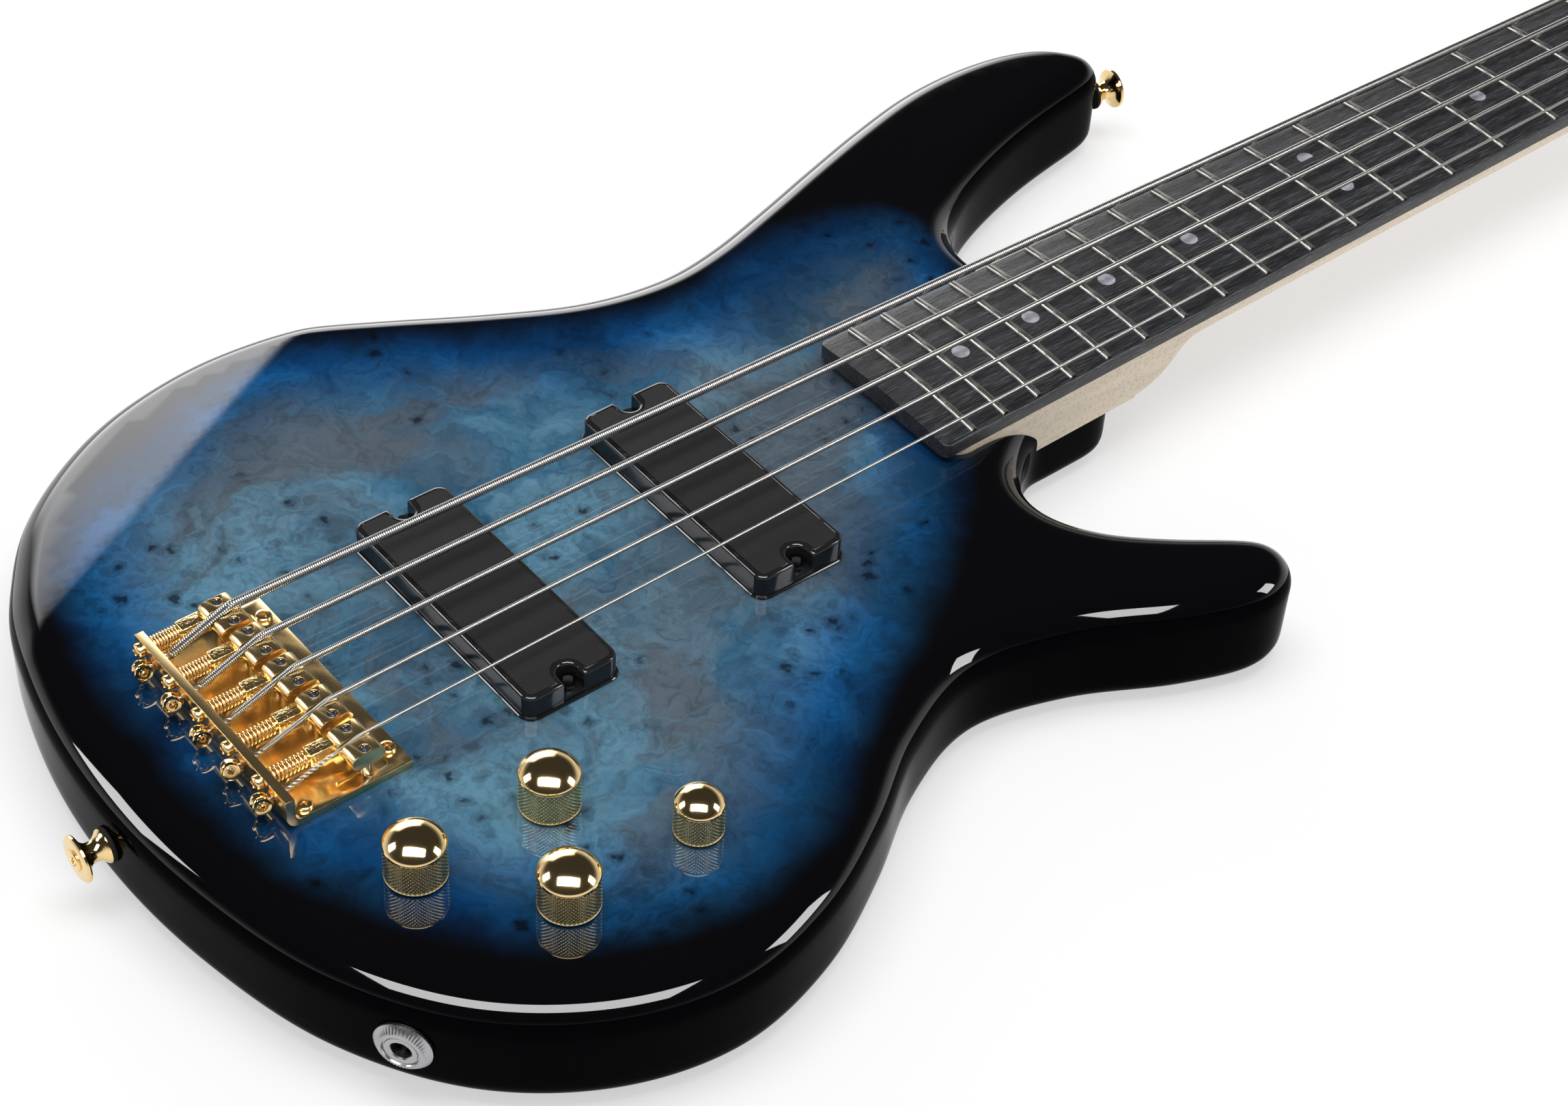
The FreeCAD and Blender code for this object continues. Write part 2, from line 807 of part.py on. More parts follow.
def neck():
    sections = []
    blend_end = neck_block_end + heel_blend_length
    for along, share in heel_blend_shares:
        x = neck_block_end + along * heel_blend_length
        depth = shaft_depth(x) + share * (heel_thickness - shaft_depth(x))
        squareness = round_squareness + share * (heel_squareness - round_squareness)
        sections.append(neck_section(x, depth, squareness))
    sections.append(neck_section(scale_length - fret_distance(octave_frets), neck_depth_octave,
                                 round_squareness))
    sections.append(neck_section(nut_rear - head_blend_length, shaft_depth(scale_length),
                                 round_squareness))
    sections.append(neck_section(nut_rear, head_thickness + veneer_thickness, head_squareness))
    shaft = Part.makeLoft(sections, True, True)
    heel = rounded_heel(pocket_end, neck_block_end, pocket_floor, board_bottom, 0)
    head = prism(head_outline(), head_back, -veneer_thickness)
    back_rim = [edge for edge in head.Edges if edge.BoundBox.ZMax < head_back + seat_gap
                and edge.BoundBox.XMax > seat_gap]
    head = head.makeChamfer(head_edge_chamfer, back_rim)
    wood = shaft.fuse([heel, in_head(head)]).removeSplitter()
    channel_start = pocket_end + truss_rod_from_heel
    tools = [block(channel_start, nut_rear + overrun, -channel_width / 2, channel_width / 2,
                   board_bottom - channel_depth, board_bottom + overrun)]
    for spot in bolt_spots:
        tools.append(placed(stud(bolt_radius + running_clearance, -overrun, bolt_bite + seat_gap,
                                 fastener_sides), spot + UP * pocket_floor, UP))
    for tool in bushing_holes() + [truss_pocket()] + truss_cover_holes():
        tools.append(in_head(tool))
    return cut_all(wood, tools)


def headstock_veneer():
    plate = prism(head_outline(), -veneer_thickness, 0)
    return in_head(cut_all(plate, bushing_holes() + [truss_pocket()] + truss_cover_holes()))


truss_cover_screw_spots = (V(truss_cover_gap + truss_cover_length * 5 / 6, 0, truss_cover_thickness),)


def truss_rod_cover():
    half = truss_cover_half_width
    shoulder = truss_cover_gap + half
    tip = truss_cover_gap + truss_cover_length
    edges = [Part.LineSegment(V(truss_cover_gap, half, 0), V(truss_cover_gap, -half, 0)).toShape(),
             Part.LineSegment(V(truss_cover_gap, -half, 0), V(shoulder, -half, 0)).toShape(),
             Part.Arc(V(shoulder, -half, 0), V(tip, 0, 0), V(shoulder, half, 0)).toShape(),
             Part.LineSegment(V(shoulder, half, 0), V(truss_cover_gap, half, 0)).toShape()]
    plate = prism(Part.Wire(edges), 0, truss_cover_thickness)
    return in_head(cut_all(plate, truss_cover_holes()))


def truss_rod():
    start = pocket_end + truss_rod_from_heel + seat_gap
    end = scale_length - truss_block_length
    floor = board_bottom - channel_depth + seat_gap
    axis_z = floor + truss_rod_radius
    rod_solid = rod(truss_rod_radius, V(start, 0, axis_z), V(nut_rear, 0, axis_z))
    bar_top = board_bottom - seat_gap
    half = channel_width / 2 - fit_clearance
    bar = block(start, end, -half, half, bar_top - truss_bar_height, bar_top)
    heel_block = block(start, start + truss_block_length, -half, half, floor, bar_top)
    nut_block = block(end - truss_block_length, end, -half, half, floor, bar_top)
    nut_start = V(nut_rear + truss_cover_gap, 0, axis_z)
    hex_nut = placed(stud(truss_nut_radius, 0, truss_nut_length, 6), nut_start, ALONG)
    tail = rod(truss_rod_radius, V(nut_rear, 0, axis_z), nut_start)
    return rod_solid.fuse([bar, heel_block, nut_block, tail, hex_nut])


# Fretboard
def board_arch(radius_change):
    """Cylinder of the board's round top, raised or lowered by a radius change."""
    radius = board_radius + radius_change
    axis_z = crown - board_radius
    return rod(radius, V(board_end - overrun, 0, axis_z), V(nut_rear + overrun, 0, axis_z))


def arch_height(y, rise):
    radius = board_radius + rise
    return crown - board_radius + math.sqrt(radius * radius - y * y)


def arched_sweep(points, half_angle):
    """Profile in the XZ plane, swept about the board's axis to both sides of the middle."""
    axis_point = V(0, 0, crown - board_radius)
    face = Part.Face(polygon(points))
    face.rotate(axis_point, ALONG, -half_angle)
    return face.revolve(axis_point, ALONG, 2 * half_angle)


def slot_angle(x, inset):
    return math.degrees(math.asin((board_half_width(x) - inset) / board_radius))


def dot_places():
    places = []
    for number in single_dot_fret_numbers:
        places.append((number, 0))
    for side in (-1, 1):
        places.append((double_dot_fret_number, side * double_dot_spread / 2))
    return [V(scale_length - (fret_distance(number) + fret_distance(number - 1)) / 2, y, 0)
            for number, y in places]


def fretboard():
    plan = prism(neck_plan(board_end, scale_length, 0), board_bottom, crown + overrun)
    corners = [edge for edge in plan.Edges
               if edge.BoundBox.XMax < board_end + seat_gap and edge.BoundBox.YLength < seat_gap]
    board = plan.makeFillet(board_end_corner, corners).common(board_arch(0))
    tools = []
    for number in range(1, fret_count + 1):
        x = scale_length - fret_distance(number)
        half = fret_tang_width / 2 + running_clearance
        floor = crown - fret_tang_depth - seat_gap
        points = [V(x - half, 0, floor), V(x + half, 0, floor),
                  V(x + half, 0, crown + overrun), V(x - half, 0, crown + overrun)]
        tools.append(arched_sweep(points, slot_angle(x, -overrun)))
    for place in dot_places():
        bottom = arch_height(place.y, 0) - dot_depth
        tools.append(placed(stud(dot_radius + running_clearance, bottom, crown + overrun,
                                 ring_sides), place, UP))
    return cut_all(board, tools)


def frets():
    wires = []
    for number in range(1, fret_count + 1):
        x = scale_length - fret_distance(number)
        half = fret_tang_width / 2
        points = [V(x + along * fret_crown_width, 0, crown + up * fret_crown_height)
                  for along, up in fret_crown_shares]
        points += [V(x + half, 0, crown), V(x + half, 0, crown - fret_tang_depth),
                   V(x - half, 0, crown - fret_tang_depth), V(x - half, 0, crown)]
        wires.append(arched_sweep(points, slot_angle(x, fret_end_inset)))
    return wires


def marker_dots():
    dots = []
    for place in dot_places():
        bottom = arch_height(place.y, 0) - dot_depth
        dot = placed(stud(dot_radius, bottom, crown + overrun, ring_sides), place, UP)
        dots.append(dot.common(board_arch(0)))
    return dots


# Strings and what they run over
def string_y(index, spacing):
    return (len(string_names) // 2 - index) * spacing


def string_bottom(y):
    """Height of a string's underside above the body's top, where it crosses its saddle."""
    tilt = string_bottom_tilt * y / (bridge_string_spacing * (len(string_names) // 2))
    return string_bottom_at_saddles - y * y / (2 * saddle_arch_radius) + tilt


def string_points(index):
    """Corners of a string's path, from behind the bridge to the nut."""
    radius = string_diameters[index] / 2
    y = string_y(index, bridge_string_spacing)
    nut_y = string_y(index, nut_string_spacing)
    hole_z = body_thickness + string_hole_height
    peak = body_thickness + string_bottom(y) + radius
    nut_z = arch_height(nut_y, fret_crown_height + string_above_first_fret) + radius
    return [V(wall_outer_x - string_end_gap, y, hole_z),
            V(wall_inner_x + string_rise_gap, y, hole_z),
            V(-string_compensations[index], y, peak),
            V(scale_length + nut_break, nut_y, nut_z)]


def winding(index):
    """Where a string meets its post, and its turns round it, in the body's frame."""
    radius = string_diameters[index] / 2
    start = head_place.inverse().multVec(string_points(index)[-1])
    post = post_spots()[index]
    side = math.copysign(1, tuner_offsets[index])
    reach = post_waist_radius + winding_clearance + radius
    flat = V(post.x - start.x, post.y - start.y, 0)
    angle = math.atan2(flat.y, flat.x) - side * math.asin(reach / flat.Length)
    run = math.sqrt(flat.Length ** 2 - reach ** 2)
    low = winding_low + radius
    touch = V(start.x + run * math.cos(angle), start.y + run * math.sin(angle), low)
    first_angle = math.atan2(touch.y - post.y, touch.x - post.x)
    rise = (2 * radius + winding_gap) / (2 * math.pi)
    turn = head_place.Rotation
    stations = [(head_place.multVec(touch), unit(turn.multVec(touch - start)))]
    samples = []
    for quarter in range(1, int(winding_turns * 4) + 1):
        swept = quarter * math.pi / 2
        around = first_angle + side * swept
        point = V(post.x + reach * math.cos(around), post.y + reach * math.sin(around),
                  low + rise * swept)
        way = V(-side * reach * math.sin(around), side * reach * math.cos(around), rise)
        stations.append((head_place.multVec(point), unit(turn.multVec(way))))
    for step in range(int(winding_turns * gap_samples) + 1):
        swept = 2 * math.pi * step / gap_samples
        around = first_angle + side * swept
        samples.append(V(reach * math.cos(around), reach * math.sin(around), rise * swept))
    return stations, least_gap(samples, gap_samples, 2 * radius)


def string(index):
    radius = string_diameters[index] / 2
    corners = string_points(index)
    stations, gap = winding(index)
    print("string", string_names[index], "least gap of its winding", round(gap, 3))
    corners.append(stations[0][0])
    edges = []
    here = corners[0]
    for number in range(1, len(corners) - 1):
        before, after = corner_points(corners[number - 1], corners[number], corners[number + 1],
                                      string_bend_radius)
        edges.append(Part.LineSegment(here, before).toShape())
        edges.append(arc_from(before, corners[number] - corners[number - 1], after))
        here = after
    edges.append(Part.LineSegment(here, corners[-1]).toShape())
    for (start, way), (end, end_way) in zip(stations, stations[1:]):
        edges.extend(biarc(start, way, end, end_way))
    return tube(edges, corners[0], corners[1] - corners[0], radius, string_sides)


def string_ball(index):
    y = string_y(index, bridge_string_spacing)
    z = body_thickness + string_hole_height
    centre = V(wall_outer_x - string_end_gap - seat_gap - ball_radius, y, z)
    half = ball_height / 2
    ball = stud(ball_radius, -half, half, ring_sides)
    hole = stud(ball_hole_radius, -ball_height, ball_height, fastener_sides)
    return placed(ball.cut(hole), centre, ACROSS)


def groove(points, radius):
    """Open channel that lets a string down into a piece along its path."""
    tools = []
    for start, end in zip(points, points[1:]):
        side = unit((end - start).cross(UP)) * radius
        low = start - UP * radius
        far = end - UP * radius
        floor = Part.Face(polygon([low - side, low + side, far + side, far - side]))
        tools.append(floor.extrude(UP * (radius + overrun)))
    return tools


def nut():
    half = board_half_width(scale_length)
    solid = block(scale_length, nut_rear, -half, half, board_bottom, crown + overrun)
    solid = solid.common(board_arch(nut_rise))
    tools = []
    for index in range(len(string_names)):
        corners = string_points(index)
        touch = winding(index)[0][0][0]
        radius = string_diameters[index] / 2 + nut_slot_clearance
        tools += groove([corners[-2], corners[-1], touch], radius)
    return cut_all(solid, tools)


# Bridge
def bridge_plate():
    inner = wall_bend_radius
    outer = wall_bend_radius + wall_thickness
    bottom = body_thickness
    wall_top = body_thickness + wall_height
    diagonal = 1 - math.cos(math.pi / 4)
    side = -plate_half_width
    edges = [
        Part.LineSegment(V(wall_outer_x + outer, side, bottom),
                         V(plate_front, side, bottom)).toShape(),
        Part.LineSegment(V(plate_front, side, bottom),
                         V(plate_front, side, plate_top - plate_edge_chamfer)).toShape(),
        Part.LineSegment(V(plate_front, side, plate_top - plate_edge_chamfer),
                         V(plate_front - plate_edge_chamfer, side, plate_top)).toShape(),
        Part.LineSegment(V(plate_front - plate_edge_chamfer, side, plate_top),
                         V(wall_inner_x + inner, side, plate_top)).toShape(),
        Part.Arc(V(wall_inner_x + inner, side, plate_top),
                 V(wall_inner_x + inner * diagonal, side, plate_top + inner * diagonal),
                 V(wall_inner_x, side, plate_top + inner)).toShape(),
        Part.LineSegment(V(wall_inner_x, side, plate_top + inner),
                         V(wall_inner_x, side, wall_top)).toShape(),
        Part.LineSegment(V(wall_inner_x, side, wall_top),
                         V(wall_outer_x, side, wall_top)).toShape(),
        Part.LineSegment(V(wall_outer_x, side, wall_top),
                         V(wall_outer_x, side, bottom + outer)).toShape(),
        Part.Arc(V(wall_outer_x, side, bottom + outer),
                 V(wall_outer_x + outer * diagonal, side, bottom + outer * diagonal),
                 V(wall_outer_x + outer, side, bottom)).toShape()]
    plate = Part.Face(Part.Wire(edges)).extrude(ACROSS * (2 * plate_half_width))
    tools = []
    for index in range(len(string_names)):
        y = string_y(index, bridge_string_spacing)
        half = channel_floor_width / 2
        tools.append(block(channel_floor_rear, channel_floor_front, y - half, y + half,
                           plate_channel_floor, plate_top + overrun))
        hole = V(wall_outer_x, y, body_thickness + string_hole_height)
        run = wall_thickness + string_rise_gap
        tools.append(placed(around(string_hole_radius, -overrun, run, fastener_sides), hole, ALONG))
        tools.append(placed(around(intonation_screw_radius + running_clearance, -overrun, run,
                                   fastener_sides), screw_axis_point(index, wall_outer_x), ALONG))
    for gap in range(len(string_names) - 1):
        y = string_y(gap, bridge_string_spacing) - bridge_string_spacing / 2
        half = land_slot_width / 2
        tools.append(block(land_slot_rear, land_slot_front, y - half, y + half,
                           bottom - overrun, plate_top + overrun))
    for spot in bridge_screw_spots:
        tools.append(placed(screw_hole(wood_screw_radius, bridge_screw_length), spot, UP))
    return cut_all(plate, tools)


def saddle_rear(index):
    return -string_compensations[index] - saddle_rear_reach


def screw_axis_point(index, x):
    y = string_y(index, bridge_string_spacing) + intonation_offset
    return V(x, y, body_thickness + intonation_height)


def height_screw_spots(index):
    x = -string_compensations[index] + (saddle_front_reach - saddle_rear_reach) / 2
    y = string_y(index, bridge_string_spacing)
    return [V(x, y + side * height_screw_offset, 0) for side in (-1, 1)]


def saddle_top(index):
    y = string_y(index, bridge_string_spacing)
    return body_thickness + string_bottom(y) + saddle_over_string


def saddle(index):
    y = string_y(index, bridge_string_spacing)
    top = saddle_top(index)
    middle_x = -string_compensations[index] + (saddle_front_reach - saddle_rear_reach) / 2
    length = saddle_front_reach + saddle_rear_reach
    profile = [V(middle_x + along * length, y - saddle_width / 2, top + up * saddle_height)
               for along, up in saddle_profile_shares]
    wing = Part.Face(polygon(profile)).extrude(ACROSS * saddle_width)
    boss_rear = screw_axis_point(index, saddle_rear(index) - boss_length)
    boss = placed(stud(boss_radius, 0, boss_length + boss_root, fastener_sides), boss_rear, ALONG)
    string_radius = string_diameters[index] / 2
    tools = groove(string_points(index)[1:4], string_radius + saddle_groove_clearance)
    tools.append(placed(around(intonation_screw_radius + running_clearance, -overrun,
                               boss_length + boss_root - bore_floor_to_screw, fastener_sides),
                        boss_rear, ALONG))
    for spot in height_screw_spots(index):
        tools.append(placed(stud(height_screw_radius + running_clearance, 0,
                                 top + overrun, fastener_sides), spot, UP))
    return cut_all(wing.fuse(boss), tools)


def height_screws(index):
    screws = []
    top = saddle_top(index) - height_screw_below_top
    for spot in height_screw_spots(index):
        thread = stud(height_screw_radius, plate_top + spring_wire_radius, top, fastener_sides)
        point = stud(height_screw_point_radius, plate_channel_floor + seat_gap,
                     plate_top + spring_wire_radius, fastener_sides)
        socket = stud(height_screw_socket_radius, top - height_screw_socket_depth, top + overrun, 6)
        screws.append(placed(thread.fuse(point).cut(socket), spot, UP))
    return screws


def intonation_screw(index):
    bore_end = saddle_rear(index) + boss_root - bore_floor_to_screw
    tip = bore_end - saddle_travel - bore_floor_to_screw
    seat = wall_outer_x - seat_gap
    shank = rod(intonation_screw_radius, screw_axis_point(index, seat),
                screw_axis_point(index, tip))
    head = placed(stud(intonation_head_radius, 0, intonation_head_height, ring_sides),
                  screw_axis_point(index, seat - intonation_head_height), ALONG)
    socket = placed(stud(height_screw_socket_radius, 0, intonation_head_height * 2 / 3, 6),
                    screw_axis_point(index, seat - intonation_head_height), ALONG)
    return shank.fuse(head).cut(socket)


def intonation_spring(index):
    margin = spring_end_gap + spring_wire_radius
    start = wall_inner_x + margin
    end = saddle_rear(index) - boss_length - margin
    rise = (end - start) / (2 * math.pi * spring_turns)
    centre = screw_axis_point(index, 0)
    stations = []
    samples = []
    for quarter in range(spring_turns * 4 + 1):
        swept = quarter * math.pi / 2
        point = V(start + rise * swept, centre.y + spring_radius * math.cos(swept),
                  centre.z + spring_radius * math.sin(swept))
        way = V(rise, -spring_radius * math.sin(swept), spring_radius * math.cos(swept))
        stations.append((point, unit(way)))
    for step in range(spring_turns * gap_samples + 1):
        swept = 2 * math.pi * step / gap_samples
        samples.append(V(rise * swept, spring_radius * math.cos(swept),
                         spring_radius * math.sin(swept)))
    gap = least_gap(samples, gap_samples, 2 * spring_wire_radius)
    print("spring", string_names[index], "least gap of its turns", round(gap, 3))
    edges = []
    for (first, way), (second, second_way) in zip(stations, stations[1:]):
        edges.extend(biarc(first, way, second, second_way))
    return tube(edges, stations[0][0], stations[0][1], spring_wire_radius, spring_sides)


# Pickups
def pickup_cover(x):
    half_x = pickup_width / 2
    half_y = pickup_length / 2
    top = body_thickness + pickup_rise
    bottom = body_thickness - pickup_sink
    shell = rounded_block(x - half_x, x + half_x, -half_y, half_y, bottom, top,
                          pickup_corner_radius)
    rim = [edge for edge in shell.Edges if edge.BoundBox.ZMin > top - seat_gap]
    shell = shell.makeChamfer(pickup_edge_chamfer, rim)
    flange = rounded_block(x - half_x - pickup_flange, x + half_x + pickup_flange,
                           -half_y - pickup_flange, half_y + pickup_flange, body_thickness,
                           body_thickness + pickup_flange_thickness,
                           pickup_corner_radius + pickup_flange)
    inner_x = half_x - pickup_wall
    inner_y = half_y - pickup_end_wall
    tools = [block(x - inner_x, x + inner_x, -inner_y, inner_y, bottom - overrun,
                   top - pickup_wall)]
    ledge = body_thickness + pickup_ledge_height
    for side in (-1, 1):
        centre = V(x, side * (half_y - pickup_notch_depth + pickup_notch_radius), 0)
        outer = side * (half_y + overrun)
        tools.append(placed(stud(pickup_notch_radius, ledge, top + overrun, ring_sides),
                            centre, UP))
        tools.append(block(x - pickup_notch_radius, x + pickup_notch_radius,
                           min(centre.y, outer), max(centre.y, outer), ledge, top + overrun))
    for spot in pickup_screw_spots:
        tools.append(placed(screw_hole(pickup_screw_radius, pickup_screw_length), spot, UP))
    return cut_all(shell.fuse(flange), tools)


def pickup_coil(x):
    top = body_thickness + pickup_rise - pickup_wall - seat_gap
    coil = block(x - coil_width / 2, x + coil_width / 2, -coil_length / 2, coil_length / 2,
                 top - coil_height, top)
    magnet = block(x - magnet_width / 2, x + magnet_width / 2, -magnet_length / 2,
                   magnet_length / 2, body_thickness - pickup_sink, top - coil_height)
    return coil.fuse(magnet)


# Controls
def knob(index):
    radius = knob_radii[index]
    height = knob_heights[index]
    wall = radius - knob_rim_step
    shoulder = height * knob_shoulder_share
    dome = knob_shoulder_radius_share * wall
    rim = stud(radius, 0, knob_rim_height, 2 * ring_sides)
    grip = stud(wall, knob_rim_height, shoulder, 2 * ring_sides)
    top = Part.makeCone(wall, dome, height - shoulder, V(0, 0, shoulder))
    socket = stud(knob_socket_radius, -overrun, knob_socket_depth, ring_sides)
    bore = around(shaft_radius + running_clearance, 0, height - knob_top_wall, fastener_sides)
    solid = rim.fuse([grip, top]).cut([socket, bore])
    place = V(*knob_places[index], body_thickness + knob_gap)
    solid.translate(place)
    shaft = rod(shaft_radius, V(place.x, place.y, body_thickness - cavity_ceiling + seat_gap),
                place + UP * (height - knob_top_wall - seat_gap))
    return [solid, shaft]


def potentiometers():
    pots = []
    ceiling = body_thickness - cavity_ceiling
    for x, y in knob_places:
        case = stud(pot_radius, ceiling - pot_height, ceiling, ring_sides)
        bushing = stud(pot_bushing_radius, ceiling, body_thickness + pot_bushing_rise, ring_sides)
        hex_nut = stud(pot_nut_radius, body_thickness, body_thickness + pot_nut_height, 6)
        bore = around(shaft_radius + running_clearance, ceiling,
                      body_thickness + pot_bushing_rise + overrun, ring_sides)
        pots.append(placed(case.fuse([bushing, hex_nut]).cut(bore), V(x, y, 0), UP))
    return pots


def control_cover():
    plate = belt(knob_ring, cover_reach - fit_clearance, 0, cover_thickness)
    tools = []
    for spot in cover_screw_spots:
        tools.append(placed(screw_hole(cover_screw_radius, cover_screw_length), spot, -UP))
        tools.append(placed(stud(cover_screw_head_radius + running_clearance, 0, overrun,
                                 fastener_sides), spot, -UP))
    return cut_all(plate, tools)


def battery():
    bottom = cover_thickness + seat_gap
    case = block(battery_x - battery_length / 2, battery_x + battery_length / 2,
                 battery_y - battery_width / 2, battery_y + battery_width / 2,
                 bottom, bottom + battery_height)
    end = battery_x - battery_length / 2
    for side in (-1, 1):
        contact = V(end, battery_y + side * battery_post_spread, bottom + battery_height / 2)
        case = case.fuse(placed(stud(battery_post_radius, 0, battery_post_height, fastener_sides),
                                contact, -ALONG))
    return case


def output_jack(mouth, way):
    rim = jack_flange_thickness + jack_dome_height
    barrel = stud(jack_barrel_radius, -jack_barrel_length, 0, ring_sides)
    flange = Part.makeCylinder(jack_flange_radius, jack_flange_thickness)
    dome = Part.makeCone(jack_flange_radius, jack_dome_radius, jack_dome_height,
                         V(0, 0, jack_flange_thickness))
    bore = Part.makeCylinder(jack_bore_radius, jack_barrel_length - jack_floor + rim,
                             V(0, 0, jack_floor - jack_barrel_length))
    return placed(barrel.fuse([flange, dome]).cut(bore), mouth, way)


# Strap buttons
def strap_button(spot, way):
    low = strap_washer_thickness
    top = low + strap_height
    profile = [(0, low), (strap_flange_radius, low), (strap_stem_radius, low + strap_height / 4),
               (strap_stem_radius, top - strap_height / 4), (strap_disc_radius, top), (0, top)]
    button = spun(profile).cut(stud(strap_screw_radius + running_clearance, 0, top + overrun,
                                    fastener_sides))
    pin = screw(strap_screw_head_radius, strap_screw_head_height, strap_screw_radius,
                strap_screw_length + top)
    pin.translate(UP * top)
    return [placed(button, spot, way), placed(pin, spot, way)]


def strap_washer(spot, way):
    ring = stud(strap_washer_radius, 0, strap_washer_thickness, ring_sides)
    ring = ring.cut(stud(strap_screw_radius + running_clearance, -overrun, overrun,
                         fastener_sides))
    return placed(ring, spot, way)


# Tuners
def tuner_side(index):
    return math.copysign(1, tuner_offsets[index])


def worm_start(index):
    spot = post_spots()[index]
    return V(spot.x - worm_offset, spot.y, key_axis_z)


def tuner_housing(index):
    spot = post_spots()[index]
    side = tuner_side(index)
    low_x = spot.x - housing_width / 2 - housing_offset
    inner = spot.y - side * housing_inner_reach
    outer = spot.y + side * housing_outer_reach
    case = block(low_x, low_x + housing_width, min(inner, outer), max(inner, outer),
                 head_back - housing_depth, head_back)
    outside = [edge for edge in case.Edges
               if edge.BoundBox.ZMax < head_back - seat_gap or edge.BoundBox.ZLength > seat_gap]
    case = case.makeChamfer(housing_chamfer, outside)
    worm = worm_start(index)
    out = ACROSS * side
    half = worm_length / 2 + mesh_gap
    tools = [placed(around(gear_radius + mesh_gap,
                           head_back - gear_below_top - gear_thickness - mesh_gap,
                           head_back + overrun, ring_sides), spot, UP),
             placed(around(worm_radius + mesh_gap, -half, half, fastener_sides), worm, out),
             placed(around(key_shaft_radius + running_clearance, 0, housing_outer_reach + overrun,
                           fastener_sides), worm, out)]
    return in_head(cut_all(case, tools))


def tuner_key(index):
    side = tuner_side(index)
    out = ACROSS * side
    start = worm_start(index)
    collar_low = housing_outer_reach + mesh_gap
    button_low = housing_outer_reach + key_button_gap
    worm = stud(worm_radius, -worm_length / 2, worm_length / 2, ring_sides)
    shaft = Part.makeCylinder(key_shaft_radius, collar_low)
    collar = stud(key_collar_radius, collar_low, button_low, fastener_sides)
    half_width = key_button_width / 2
    half_thick = key_button_thickness / 2
    outline = [V(across * half_width, -half_thick, button_low + along * key_button_length)
               for along, across in key_button_shares]
    button = Part.Face(polygon(outline)).extrude(ACROSS * key_button_thickness)
    key = worm.fuse([shaft, collar, button])
    return in_head(placed(key, start, out))


def tuner_post(index):
    spot = post_spots()[index]
    gear_low = head_back - gear_below_top - gear_thickness
    gear = stud(gear_radius, gear_low, gear_low + gear_thickness, ring_sides)
    stem = Part.makeCylinder(post_radius, post_waist_low - gear_low, V(0, 0, gear_low))
    waist = stud(post_waist_radius, post_waist_low, post_waist_high, ring_sides)
    head = Part.makeCylinder(post_radius, post_height - post_waist_high, V(0, 0, post_waist_high))
    slot = block(-post_slot_width / 2, post_slot_width / 2, -gear_radius, gear_radius,
                 post_height - post_slot_depth, post_height + overrun)
    return in_head(placed(gear.fuse([stem, waist, head]).cut(slot), spot, UP))


def tuner_bushing(index):
    spot = post_spots()[index]
    sleeve = stud(bushing_radius, head_back + seat_gap, 0, ring_sides)
    flange = stud(bushing_flange_radius, 0, bushing_flange_thickness, ring_sides)
    bore = around(post_radius + running_clearance, head_back, overrun, ring_sides)
    return in_head(placed(sleeve.fuse(flange).cut(bore), spot, UP))


# Neck bolts
def ferrule():
    cup = stud(ferrule_radius, seat_gap, ferrule_height, ring_sides)
    well = stud(bolt_head_radius + fit_clearance, 0, ferrule_height - ferrule_wall, fastener_sides)
    hole = stud(bolt_radius + running_clearance, 0, ferrule_height + overrun, fastener_sides)
    return cup.cut([well, hole])


def neck_bolt():
    seat = ferrule_height - ferrule_wall
    bolt = screw(bolt_head_radius, bolt_head_height, bolt_radius, pocket_floor + bolt_bite - seat)
    return placed(bolt, UP * seat, -UP)


# Write every piece under its own name
body, burl_top, strap_places, jack_place = body_and_top()
save("body", [body])
save("burl_top", [burl_top])
save("neck", [neck()])
save("headstock_veneer", [headstock_veneer()])
save("fretboard", [fretboard()])
save("frets", frets())
save("marker_dots", marker_dots())
save("nut", [nut()])
save("truss_rod", [truss_rod()])
save("truss_rod_cover", [truss_rod_cover()])
save("neck_ferrules", [placed(ferrule(), spot, UP) for spot in bolt_spots])
save("neck_bolts", [placed(neck_bolt(), spot, UP) for spot in bolt_spots])
save("bridge_plate", [bridge_plate()])
save("bridge_screws", [placed(screw(bridge_screw_head_radius, bridge_screw_head_height,
                                    wood_screw_radius, bridge_screw_length), spot, UP)
                       for spot in bridge_screw_spots])
save("intonation_springs", [intonation_spring(index) for index in range(len(string_names))])
for number, name in enumerate(string_names):
    save("saddle_" + name, [saddle(number)])
    save("height_screws_" + name, height_screws(number))
    save("intonation_screw_" + name, [intonation_screw(number)])
    save("string_" + name, [string(number), string_ball(number)])
    save("tuner_key_" + name, [tuner_key(number)])
    save("tuner_post_" + name, [tuner_post(number)])
save("tuner_housings", [tuner_housing(index) for index in range(len(string_names))])
save("tuner_bushings", [tuner_bushing(index) for index in range(len(string_names))])
save("pickup_covers", [pickup_cover(x) for x in pickup_positions])
save("pickup_coils", [pickup_coil(x) for x in pickup_positions])
for number, name in enumerate(knob_names):
    save("knob_" + name, knob(number))
save("potentiometers", potentiometers())
save("control_cover", [control_cover()])
save("battery", [battery()])
save("output_jack", [output_jack(*jack_place)])
buttons = []
for spot, way in strap_places:
    buttons += strap_button(spot, way)
save("strap_buttons", buttons)
save("strap_washers", [strap_washer(spot, way) for spot, way in strap_places])
black_screws = [placed(screw(pickup_screw_head_radius, pickup_screw_head_height,
                             pickup_screw_radius, pickup_screw_length), spot, UP)
                for spot in pickup_screw_spots]
